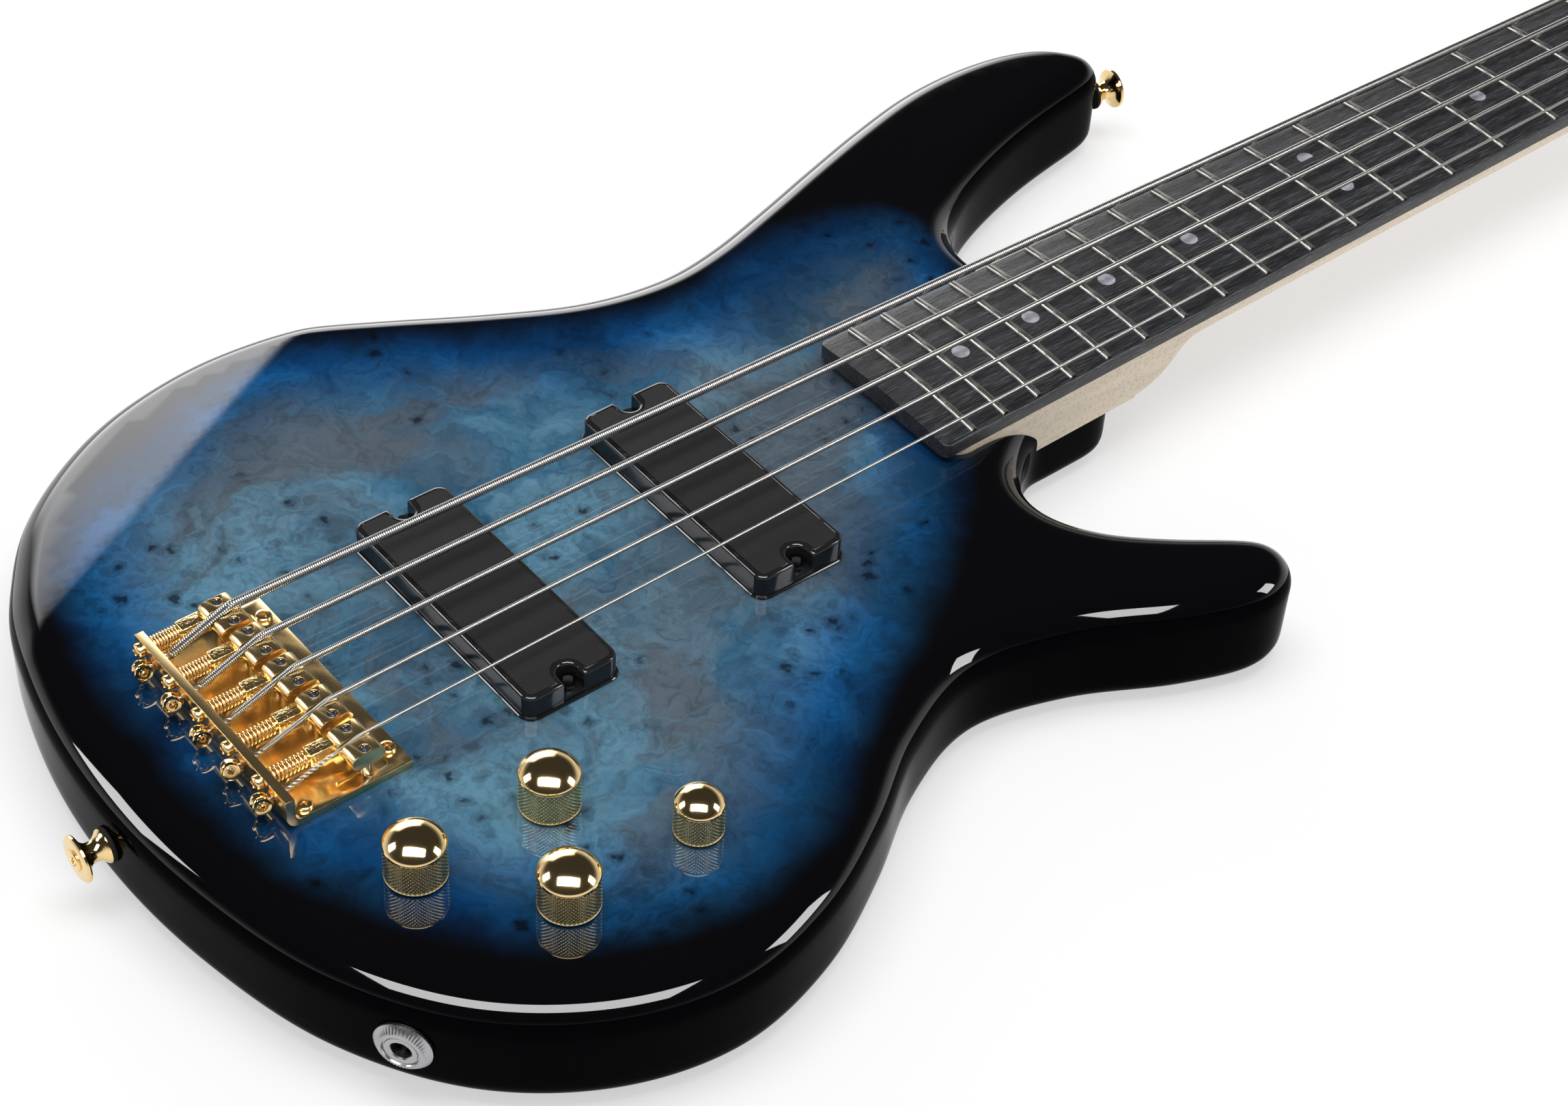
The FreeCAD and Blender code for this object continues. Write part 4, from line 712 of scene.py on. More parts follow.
def scattered(name, shape, places, facings, material, soften=0.0, angle=32):
    """Copies of one shape, set on places and turned to face their own ways."""
    template = add_object(name + "_template", shape)
    if soften:
        softened(template, soften)
    template.data.shade_smooth()
    template.data.set_sharp_from_angle(angle=math.radians(angle))
    piece = points_object(name, places, facings)
    run_tree(piece, scatter_tree(), {"Template": template, "Material": material})
    remove(template)
    return piece


# Shader groups and materials
def shader_group(name, inputs, outputs):
    tree = bpy.data.node_groups.new(name, "ShaderNodeTree")
    for label, kind, default in inputs:
        socket = tree.interface.new_socket(name=label, in_out="INPUT", socket_type=kind)
        socket.default_value = default
    for label, kind in outputs:
        tree.interface.new_socket(name=label, in_out="OUTPUT", socket_type=kind)
    nodes = Nodes(tree)
    return tree, nodes, nodes.add("NodeGroupInput"), nodes.add("NodeGroupOutput")


def grain_group():
    """Wood grain along X: fine streaks, slow bands and pores."""
    found = bpy.data.node_groups.get("Long grain")
    if found:
        return found
    tree, nodes, source, output = shader_group("Long grain", (
        ("Streaks", "NodeSocketFloat", 900.0), ("Length", "NodeSocketFloat", 25.0),
        ("Wander", "NodeSocketFloat", 0.3)),
        (("Mask", "NodeSocketFloat"), ("Bands", "NodeSocketFloat")))
    place = nodes.add("ShaderNodeTexCoord").outputs["Object"]
    parts = nodes.add("ShaderNodeSeparateXYZ", {0: place})
    stretch = nodes.math("MULTIPLY", parts.outputs[0], source.outputs["Length"])
    across = nodes.math("MULTIPLY", parts.outputs[1], source.outputs["Streaks"])
    down = nodes.math("MULTIPLY", parts.outputs[2], source.outputs["Streaks"])
    where = nodes.add("ShaderNodeCombineXYZ", {0: stretch, 1: across, 2: down}).outputs[0]
    fine = nodes.noise(where, 1.0, 4.0, 0.62, source.outputs["Wander"])
    wide = nodes.noise(where, 0.13, 2.0)
    nodes.tree.links.new(fine[0], output.inputs[0])
    nodes.tree.links.new(wide[0], output.inputs[1])
    return tree


def speckle_group():
    """Fine even speckle, for moulded plastic, felt and plating."""
    found = bpy.data.node_groups.get("Fine speckle")
    if found:
        return found
    tree, nodes, source, output = shader_group("Fine speckle", (
        ("Scale", "NodeSocketFloat", 2500.0), ("Contrast", "NodeSocketFloat", 1.0)),
        (("Mask", "NodeSocketFloat"), ("Smudge", "NodeSocketFloat")))
    place = nodes.add("ShaderNodeTexCoord").outputs["Object"]
    fine = nodes.noise(place, source.outputs["Scale"], 2.0)
    centred = nodes.math("SUBTRACT", fine[0], 0.5)
    scaled = nodes.math("MULTIPLY", centred, source.outputs["Contrast"])
    lifted = nodes.math("ADD", scaled, 0.5)
    smudge = nodes.noise(place, 60.0, 3.0)
    nodes.tree.links.new(lifted, output.inputs[0])
    nodes.tree.links.new(smudge[0], output.inputs[1])
    return tree


def material_of(name, build):
    """Material by name, built once."""
    found = bpy.data.materials.get(name)
    if found:
        return found
    material = bpy.data.materials.new(name)
    material.use_nodes = True
    nodes = Nodes(material.node_tree)
    shader = material.node_tree.nodes["Principled BSDF"]
    build(nodes, shader)
    return material


def into(nodes, shader, **values):
    """Sets or links the shader's sockets, named with underscores for spaces."""
    for key, value in values.items():
        socket = shader.inputs[key.replace("_", " ")]
        if isinstance(value, bpy.types.NodeSocket):
            nodes.tree.links.new(value, socket)
        elif hasattr(value, "__len__"):
            socket.default_value = (*value, 1)
        else:
            socket.default_value = value


def bumped(nodes, shader, height, strength, distance):
    bump = nodes.add("ShaderNodeBump", {"Height": height, "Strength": strength,
                                        "Distance": distance})
    into(nodes, shader, Normal=bump.outputs[0])


def from_group(nodes, group, **values):
    node = nodes.add("ShaderNodeGroup", node_tree=group)
    for key, value in values.items():
        node.inputs[key].default_value = value
    return node


def uneven(nodes, mask, low, high):
    """Roughness that wanders between two values with a mask."""
    return nodes.add("ShaderNodeMapRange", {"Value": mask, "From Min": 0.3, "From Max": 0.7,
                                            "To Min": low, "To Max": high}).outputs[0]


def shaded(colour, share):
    return tuple(min(1.0, c * share) for c in colour)


def burl_lacquer():
    look = bpy.context.scene.bass_body

    def build(nodes, shader):
        place = nodes.add("ShaderNodeTexCoord").outputs["Object"]
        warp = nodes.noise(place, 26.0, 4.0, 0.6)
        push = nodes.vector("SUBTRACT", warp[1], (0.5, 0.5, 0.5))
        push = nodes.vector("MULTIPLY", push, (0.055, 0.055, 0.0))
        swirl = nodes.vector("ADD", place, push)
        clouds = nodes.noise(swirl, 17.0, 6.0, 0.58, 0.4)[0]
        grey = nodes.noise(swirl, 9.0, 5.0, 0.62, 0.9)[0]
        blues = nodes.ramp(clouds, ((0.36, shaded(look.mid_blue, 0.55)),
                                    (0.47, look.mid_blue), (0.60, look.pale_blue)))
        grey_mask = nodes.ramp(grey, ((0.46, 0.0), (0.60, 0.84)))
        wood = nodes.blend(grey_mask, blues, look.burl_grey)
        figure = nodes.noise(swirl, 120.0, 5.0, 0.65, 1.6)[0]
        figure_mask = nodes.ramp(figure, ((0.34, 0.72), (0.52, 1.0), (0.68, 1.12)))
        wood = nodes.blend(1.0, wood, figure_mask, "MULTIPLY")
        groups = nodes.noise(place, 21.0, 3.0)[0]
        group_mask = nodes.ramp(groups, ((0.50, 0.0), (0.60, 1.0)))
        jitter = nodes.noise(place, 300.0, 2.0)
        push = nodes.vector("SUBTRACT", jitter[1], (0.5, 0.5, 0.5))
        push = nodes.vector("MULTIPLY", push, (0.006, 0.006, 0.0))
        eye_place = nodes.vector("ADD", place, push)
        eyes = nodes.add("ShaderNodeTexVoronoi", {"Vector": eye_place, "Scale": 115.0,
                                                  "Randomness": 1.0}).outputs["Distance"]
        eye_mask = nodes.ramp(eyes, ((0.10, 1.0), (0.24, 0.35), (0.40, 0.0)))
        rings = nodes.math("SINE", nodes.math("MULTIPLY", eyes, 22.0))
        ring_mask = nodes.ramp(rings, ((0.2, 0.0), (0.9, 0.16)))
        both = nodes.math("ADD", eye_mask, ring_mask)
        dark = nodes.math("MULTIPLY", both, group_mask)
        dark = nodes.math("MINIMUM", dark, 0.88)
        wood = nodes.blend(dark, wood, look.eye_dark)
        depth = nodes.add("ShaderNodeAttribute", attribute_name="burst_depth").outputs["Fac"]
        fray = nodes.noise(place, 30.0, 2.0)
        shift = nodes.math("MULTIPLY", nodes.math("SUBTRACT", fray[0], 0.5), 0.012)
        depth = nodes.math("ADD", depth, shift)
        rim_share, black_share = (nodes.add("ShaderNodeMapRange", {
            "Value": depth, "From Min": low, "From Max": high, "To Min": 0.0, "To Max": 1.0},
            interpolation_type="SMOOTHSTEP").outputs[0]
            for low, high in ((0.010, 0.052), (-0.006, 0.017)))
        stained = nodes.blend(1.0, wood, look.rim_blue, "MULTIPLY")
        colour = nodes.blend(rim_share, stained, wood)
        colour = nodes.blend(black_share, look.black, colour)
        into(nodes, shader, Base_Color=colour, Roughness=0.035, IOR=1.5, Coat_Weight=0.0)

    return material_of("burl_lacquer", build)


def plain_lacquer(name, colour, roughness=0.04):
    def build(nodes, shader):
        speckle = from_group(nodes, speckle_group(), Scale=90.0, Contrast=0.6)
        rough = uneven(nodes, speckle.outputs["Smudge"], roughness, roughness + 0.02)
        into(nodes, shader, Base_Color=colour, Roughness=rough, IOR=1.5)

    return material_of(name, build)


def black_lacquer():
    return plain_lacquer("black_lacquer", bpy.context.scene.bass_body.black)


def side_lacquer():
    """Black lacquer of the side walls and the back, which mirrors the pale floor less."""
    material = plain_lacquer("side_lacquer", bpy.context.scene.bass_body.black, 0.05)
    material.node_tree.nodes["Principled BSDF"].inputs["Specular IOR Level"].default_value = 0.008
    return material


def gold_plate(name="gold_plate", wear=0.0):
    """Polished gold plating, or a softer one with more wear."""
    look = bpy.context.scene.bass_hardware
    low = look.gold_roughness + wear

    def build(nodes, shader):
        speckle = from_group(nodes, speckle_group(), Scale=700.0, Contrast=0.5)
        rough = uneven(nodes, speckle.outputs["Smudge"], low, low + 0.04)
        tint = nodes.blend(speckle.outputs["Smudge"], look.gold, shaded(look.gold, 0.9))
        into(nodes, shader, Base_Color=tint, Metallic=1.0, Roughness=rough)

    return material_of(name, build)


def bridge_gold():
    return gold_plate("bridge_gold", 0.13)


def textured_gold():
    """Gold with the pebbled top of the screw bosses."""
    look = bpy.context.scene.bass_hardware

    def build(nodes, shader):
        speckle = from_group(nodes, speckle_group(), Scale=1100.0, Contrast=1.6)
        into(nodes, shader, Base_Color=shaded(look.gold, 0.85), Metallic=1.0,
             Roughness=0.22)
        bumped(nodes, shader, speckle.outputs["Mask"], 0.5, 0.0003)

    return material_of("textured_gold", build)


def knurled_gold():
    """Gold of the knobs' grip, with painted shade in the valleys between the diamonds and tips a little
    lighter than plain gold.
    """
    look = bpy.context.scene.bass_hardware

    def build(nodes, shader):
        relief = nodes.add("ShaderNodeAttribute", attribute_name="relief").outputs["Fac"]
        speckle = from_group(nodes, speckle_group(), Scale=1100.0, Contrast=0.6)
        # Painted shade: the valleys between the diamonds are darkened in the base colour, and the tips
        # are a little lighter than plain gold.
        tint = nodes.ramp(relief, ((0.05, shaded(look.gold, 0.14)),
                                   (0.50, shaded(look.gold, 1.15))))
        rough = nodes.ramp(speckle.outputs["Mask"], ((0.3, 0.25), (0.7, 0.31)))
        into(nodes, shader, Base_Color=tint, Metallic=1.0, Roughness=rough)

    return material_of("knurled_gold", build)


def bright_metal(name, colour, roughness):
    def build(nodes, shader):
        speckle = from_group(nodes, speckle_group(), Scale=1500.0, Contrast=0.7)
        rough = uneven(nodes, speckle.outputs["Mask"], roughness * 0.8, roughness * 1.3)
        into(nodes, shader, Base_Color=colour, Metallic=1.0, Roughness=rough)

    return material_of(name, build)


def moulded(name, colour, roughness, grain=0.15, shine=0.2):
    """Black moulded plastic or rubbery felt with a fine speckle."""
    def build(nodes, shader):
        speckle = from_group(nodes, speckle_group(), Scale=2600.0, Contrast=1.2)
        tint = nodes.blend(speckle.outputs["Mask"], shaded(colour, 0.75), shaded(colour, 1.3))
        into(nodes, shader, Base_Color=tint, Roughness=roughness, Specular_IOR_Level=shine)
        bumped(nodes, shader, speckle.outputs["Mask"], grain, 0.0002)

    return material_of(name, build)


def maple_wood():
    look = bpy.context.scene.bass_neck

    def build(nodes, shader):
        grain = from_group(nodes, grain_group(), Streaks=420.0, Length=22.0, Wander=0.4)
        place = nodes.add("ShaderNodeTexCoord").outputs["Object"]
        flecks = nodes.add("ShaderNodeTexVoronoi", {"Vector": place, "Scale": 620.0}).outputs[0]
        fleck_mask = nodes.ramp(flecks, ((0.20, 0.82), (0.45, 1.0)))
        tint = nodes.ramp(grain.outputs["Mask"], (
            (0.30, shaded(look.maple, 0.86)), (0.62, look.maple), (0.80, shaded(look.maple, 1.08))))
        colour = nodes.blend(1.0, tint, fleck_mask, "MULTIPLY")
        into(nodes, shader, Base_Color=colour, Roughness=0.42)
        bumped(nodes, shader, grain.outputs["Mask"], 0.08, 0.0003)

    return material_of("maple_wood", build)


def board_wood():
    look = bpy.context.scene.bass_neck

    def build(nodes, shader):
        grain = from_group(nodes, grain_group(), Streaks=2600.0, Length=110.0, Wander=0.2)
        base = nodes.ramp(grain.outputs["Mask"], (
            (0.36, look.board), (0.52, shaded(look.board, 1.7)), (0.66, look.board_streak)))
        bands = nodes.ramp(grain.outputs["Bands"], ((0.35, 0.65), (0.62, 1.15)))
        colour = nodes.blend(1.0, base, bands, "MULTIPLY")
        rough = nodes.ramp(grain.outputs["Mask"], ((0.3, 0.20), (0.7, 0.30)))
        into(nodes, shader, Base_Color=colour, Roughness=rough, Specular_IOR_Level=0.3)
        bumped(nodes, shader, grain.outputs["Mask"], 0.35, 0.0004)

    return material_of("board_wood", build)


def pearl():
    def build(nodes, shader):
        place = nodes.add("ShaderNodeTexCoord").outputs["Object"]
        cloud = nodes.noise(place, 350.0, 2.0)
        tint = nodes.ramp(cloud[0], ((0.35, (0.33, 0.33, 0.37)), (0.65, (0.50, 0.49, 0.55))))
        into(nodes, shader, Base_Color=tint, Roughness=0.22)

    return material_of("pearl", build)


def string_metal():
    look = bpy.context.scene.bass_strings

    def build(nodes, shader):
        groove = nodes.add("ShaderNodeAttribute", attribute_name="groove").outputs["Fac"]
        speckle = from_group(nodes, speckle_group(), Scale=1500.0, Contrast=0.6)
        rough = nodes.ramp(speckle.outputs["Mask"], ((0.3, 0.26), (0.7, 0.34)))
        # Painted shade: the grooves between the turns are darkened to a fifth of the steel's colour.
        shade = nodes.blend(groove, look.steel, shaded(look.steel, 0.20))
        into(nodes, shader, Base_Color=shade, Metallic=1.0, Roughness=rough)

    return material_of("wound_steel", build)


# Body
def body_outline():
    """Faired outline of the body, seen from above, as an even loop."""
    points = []
    for along, across in BASS_SIDE:
        points.append((BODY_REAR + along * (UPPER_TIP - BODY_REAR), across * HALF_WIDTH))
    points.append((BODY_REAR, 0.0))
    for along, across in TREBLE_SIDE:
        points.append((BODY_REAR + along * (LOWER_TIP - BODY_REAR), across * HALF_WIDTH))
    corner = 12.0
    side_start = HEEL_FRONT - 43.0
    side_end = HEEL_FRONT - corner
    for x in np.linspace(side_start, side_end, 5):
        points.append((x, -board_half(x)))
    centre = (side_end, -board_half(side_end) + corner)
    for turn in (-60, -30, 0):
        angle = math.radians(turn)
        points.append((centre[0] + corner * math.cos(angle), centre[1] + corner * math.sin(angle)))
    for share in (0.25, 0.5, 0.75, 1.0):
        top = board_half(HEEL_FRONT) / 2
        points.append((HEEL_FRONT, centre[1] + (top - centre[1]) * share))
    loop = spaced(curved(points, 24)[:, :2], 1.0)
    return spaced(faired(loop, 26), 1.9)


def bevel_axes():
    """The bevel's crease: a point on it, its direction and the direction away from it."""
    front, rear = np.array(BEVEL_FRONT), np.array(BEVEL_REAR)
    crease = (front - rear) / np.linalg.norm(front - rear)
    return rear, crease, np.array([-crease[1], crease[0]])


def bevel_drop(points, slope):
    """How far the forearm bevel lowers the top at each point, with a soft crease."""
    rear, _, away = bevel_axes()
    past = (points[:, :2] - rear) @ away
    soft = 3.0
    eased = np.where(past > soft, past, np.where(past < -soft, 0, (past + soft) ** 2 / (4 * soft)))
    return eased * math.tan(slope)


def top_points(loop):
    """Inner points of the top: finer rows along the bevel's crease, a plain grid elsewhere."""
    rear, crease, away = bevel_axes()
    rows = list(np.arange(-420, -12, 6.0)) + [-12, -8, -5, -3, -2, -1, 0, 1, 2, 3, 5, 8]
    rows += list(np.arange(13, 60, 6.0))
    found = []
    for number, row in enumerate(rows):
        along = np.arange(-330, 520, 6.0) + (3.0 if number % 2 else 0.0)
        found.append(rear + along[:, None] * crease + away * row)
    points = np.vstack(found)
    points = points[inside(loop, points)]
    return points[distance_to(loop, points) > 2.0]


def body_shell(look):
    """Closed shell of the body with rounded edges and the bevelled, gridded top."""
    loop = body_outline()
    normals = outward(loop)
    turned = np.roll(normals, -3, 0) - np.roll(normals, 3, 0)
    way = np.roll(loop, -3, 0) - np.roll(loop, 3, 0)
    bend = (turned * way).sum(1) / (way ** 2).sum(1)
    hollow = faired(np.clip(-bend * turning(loop) * 45.0, 0, 1)[:, None], 160)
    radius = look.edge_round / MM + look.cutaway_round / MM * hollow[:, 0]
    rings = []
    for step in range(14):
        tilt = math.radians(90 * step / 13)
        inset = loop - normals * (radius * (1 - math.sin(tilt)))[:, None]
        height = BODY_TOP - bevel_drop(inset, look.bevel_slope) - radius * (1 - math.cos(tilt))
        rings.append(np.column_stack([inset, height]))
    low_radius = 8.5
    side_top = rings[-1][:, 2]
    for share in (0.25, 0.5, 0.75, 1.0):
        rings.append(np.column_stack([loop, side_top + (low_radius - side_top) * share]))
    for step in range(1, 8):
        tilt = math.radians(90 * step / 7)
        inset = loop - normals * (low_radius * (1 - math.cos(tilt)))
        rings.append(level(inset, low_radius * (1 - math.sin(tilt))))
    points, faces = skin(rings, start_cap=False, end_cap=True)
    rim = rings[0]
    inner = top_points(rim[:, :2])
    count = len(rim)
    flat = [Vector(p) for p in rim[:, :2]] + [Vector(p) for p in inner]
    edges = [(index, (index + 1) % count) for index in range(count)]
    made = delaunay_2d_cdt(flat, edges, [], 1, 1e-5)
    where = [source[0] for source in made[3]]
    inner_points = np.column_stack([inner, BODY_TOP - bevel_drop(inner, look.bevel_slope)])
    shift = len(points)
    number = [source if source < count else shift + source - count for source in where]
    top = [tuple(number[v] for v in face) for face in made[2]]
    return np.vstack([points, inner_points]), faces + top


def neck_loop(start, end, clearance, radius):
    """Plan of the neck's heel, with rounded corners at the body end."""
    low, high = board_half(start) + clearance, board_half(end) + clearance
    loop = [(end, -high), (end, high)]
    for side in (1, -1):
        for step in range(9):
            angle = math.radians(90 * step / 8)
            u, v = math.sin(angle), math.cos(angle)
            if side < 0:
                u, v = v, u
            loop.append((start + radius - radius * u, side * (low - radius + radius * v)))
    return np.array(loop)


def blue_edge():
    points = [(BODY_REAR + along * (UPPER_TIP - BODY_REAR), across * HALF_WIDTH)
              for along, across in BLUE_EDGE]
    return spaced(curved(points, 10)[:, :2], 4.0)


def add_depth(piece):
    """Stores how deep each point lies inside the blue of the burst, in metres."""
    mesh = piece.data
    count = len(mesh.vertices)
    places = np.empty(count * 3, np.float32)
    mesh.vertices.foreach_get("co", places)
    places = places.reshape(-1, 3) / MM
    blue, plan = blue_edge(), places[:, :2].astype(float)
    depth = distance_to(blue, plan)
    depth = np.where(inside(blue, plan), depth, -depth)
    depth = np.where(places[:, 2] < BODY_TOP - 12.0, -40.0, depth)
    attribute = mesh.attributes.new("burst_depth", "FLOAT", "POINT")
    attribute.data.foreach_set("value", (depth * MM).astype(np.float32))


def cover_room():
    """The recess in the back that the control cover lies in, a hair wider than the cover."""
    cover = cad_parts["control_cover"]
    places = np.array([(cover.matrix_world @ v.co)[:2] for v in cover.data.vertices]) / MM
    places = np.unique(np.round(places, 2), axis=0)
    loop = places[convex_hull_2d([Vector(place) for place in places])]
    middle = loop.mean(axis=0)
    return slab(middle + (loop - middle) * 1.004, -1.0, 2.05)


class BASS_OT_body(bpy.types.Operator):
    """Build the lacquered body with its burl top"""
    bl_idname = "bass.make_body"
    bl_label = "Body"

    def execute(self, context):
        piece = add_object("lacquered_body", body_shell(context.scene.bass_body))
        heel = add_object("heel_cut", slab(neck_loop(POCKET_END - 0.15, 326.0, 0.15, 9.0),
                                           POCKET_FLOOR, 60.0))
        front = HEEL_FRONT
        wedge = [(front + 5, -1.0), (front + 5, 22.0), (front, 17.0), (front - 13.0, 0.0),
                 (front - 13.0, -1.0)]
        rings = [[(x, y, z) for x, z in wedge] for y in (-LAST_WIDTH, board_half(front))]
        slope = add_object("heel_slope", skin(rings))
        well = lathe([(WELL_RADIUS, -1.0), (WELL_RADIUS, WELL_DEPTH)], 40)
        wells = [add_object("well", moved(well, Matrix.Translation(
            Vector((POCKET_END + row, way * BOLT_SPREAD, 0)))))
            for row in BOLT_ROWS for way in (-1, 1)]
        combined(piece, [heel, slope, add_object("room", cover_room()), *wells])
        add_depth(piece)
        dressed(piece, burl_lacquer(), ROOT, ("body", "burl_top"), angle=38)
        piece.data.materials.append(side_lacquer())
        for face in piece.data.polygons:
            if face.normal.z < 0.55:
                face.material_index = 1
        return {"FINISHED"}


# Neck, board and what is set in them
def neck_rings():
    """Sections of the neck from the heel to the headstock."""
    first, octave = SCALE * 2 ** (-1 / 12), SCALE / 2
    slope = 2.5 / (first - octave)
    stations = list(np.linspace(NECK_HEEL_END - 2, NECK_HEEL_END + 42, 27))
    stations += list(np.linspace(376, 848, 24)) + list(np.linspace(854.5, NUT_REAR, 8))
    rings = []
    for x in stations:
        blend = np.clip((x - NECK_HEEL_END) / 42.0, 0, 1)
        blend = (1 - blend ** 1.25) ** 2.0
        depth = 14.0 + slope * (first - x)
        depth += blend * (19.5 - depth)
        power = 2.1 + blend ** 3 * 40.0
        head = np.clip((x - 854.5) / 14.0, 0, 1)
        head = head * head * (3 - 2 * head)
        depth += head * (14.0 - depth)
        power += head * (5.0 - power)
        angles = np.linspace(0, math.pi, 41)
        y = board_half(x) * np.sign(np.cos(angles)) * np.abs(np.cos(angles)) ** (2 / power)
        z = BOARD_BOTTOM - depth * np.abs(np.round(np.sin(angles), 6)) ** (2 / power)
        rings.append(np.column_stack([np.full(41, x), y, z]))
    return rings


def head_loop(inset=0.0, start=0.0):
    points = [(along * HEAD_LENGTH, across * HEAD_HALF)
              for along, across in HEAD_UPPER + HEAD_LOWER]
    half = board_half(NUT_REAR)
    curve = curved(points, 14, closed=False)[:, :2]
    curve = np.vstack([[(start, half)], curve, [(start, -half)]])
    if inset:
        curve = curve - outward(curve) * inset
    return curve


class BASS_OT_neck(bpy.types.Operator):
    """Build the maple neck with its heel and headstock"""
    bl_idname = "bass.make_neck"
    bl_label = "Neck"

    def execute(self, context):
        piece = add_object("maple_neck", skin(neck_rings()))
        heel = add_object("heel", slab(neck_loop(POCKET_END, NECK_HEEL_END, -0.02, 9.0),
                                       POCKET_FLOOR + 0.015, BOARD_BOTTOM - 0.015))
        loop = head_loop(start=-3.0)
        inner = head_loop(inset=1.6, start=-3.0)
        rings = [level(inner, HEAD_BACK), level(loop, HEAD_BACK + 1.6), level(loop, -1.5)]
        head = add_object("head", moved(skin(rings), HEAD_FRAME))
        combined(piece, [heel, head], "UNION")
        dressed(piece, maple_wood(), ROOT, ("neck",), angle=40)
        rings = [level(head_loop(), -1.5), level(head_loop(), -0.4),
                 level(head_loop(inset=0.4), 0.0)]
        face = add_object("headstock_face", moved(skin(rings), HEAD_FRAME))
        dressed(face, black_lacquer(), ROOT, ("headstock_veneer",))
        return {"FINISHED"}


def board_rings():
    """Sections of the fretboard, with rolled edges and rounded end corners."""
    stations = [BOARD_END + 3 * (1 - math.cos(math.radians(a))) for a in range(0, 91, 10)]
    stations += list(np.linspace(BOARD_END + 12, SCALE, 60))
    rings = []
    for x in stations:
        short = max(0.0, 3.0 - (x - BOARD_END))
        half = board_half(x) - (3.0 - math.sqrt(max(0.0, 9.0 - short * short)))
        roll = 0.9
        y = list(np.linspace(-half + roll, half - roll, 21))
        z = list(arch(np.array(y)))
        right = [(half - roll + roll * math.sin(math.radians(a)),
                  z[-1] - roll * (1 - math.cos(math.radians(a)))) for a in (22.5, 45, 67.5, 90)]
        left = [(-p[0], p[1]) for p in reversed(right)]
        ring = left + list(zip(y, z)) + right + [(half, BOARD_BOTTOM), (-half, BOARD_BOTTOM)]
        rings.append([(x, across, height) for across, height in ring])
    return rings


def fret_shape(width, height, length):
    """One straight fret with rounded ends."""
    rings = []
    for turn, inset in ((0, 0.9), (25, 0.45), (50, 0.18), (75, 0.03), (90, 0.0)):
        share = 0.35 + 0.65 * math.sin(math.radians(turn))
        rings.append((-length / 2 + inset, share))
    rings += [(y, 1.0) for y in np.linspace(-length / 2 + 3, length / 2 - 3, 25)]
    rings += [(-y, share) for y, share in reversed(rings[:5])]
    found = []
    for y, share in rings:
        ring = []
        for turn in range(0, 181, 20):
            angle = math.radians(turn)
            ring.append((width / 2 * math.cos(angle) * (0.6 + 0.4 * share), y,
                         height * share * math.sin(angle) ** 0.8))
        ring += [(-0.3, y, -0.6), (0.3, y, -0.6)]
        found.append(ring)
    return skin(found)


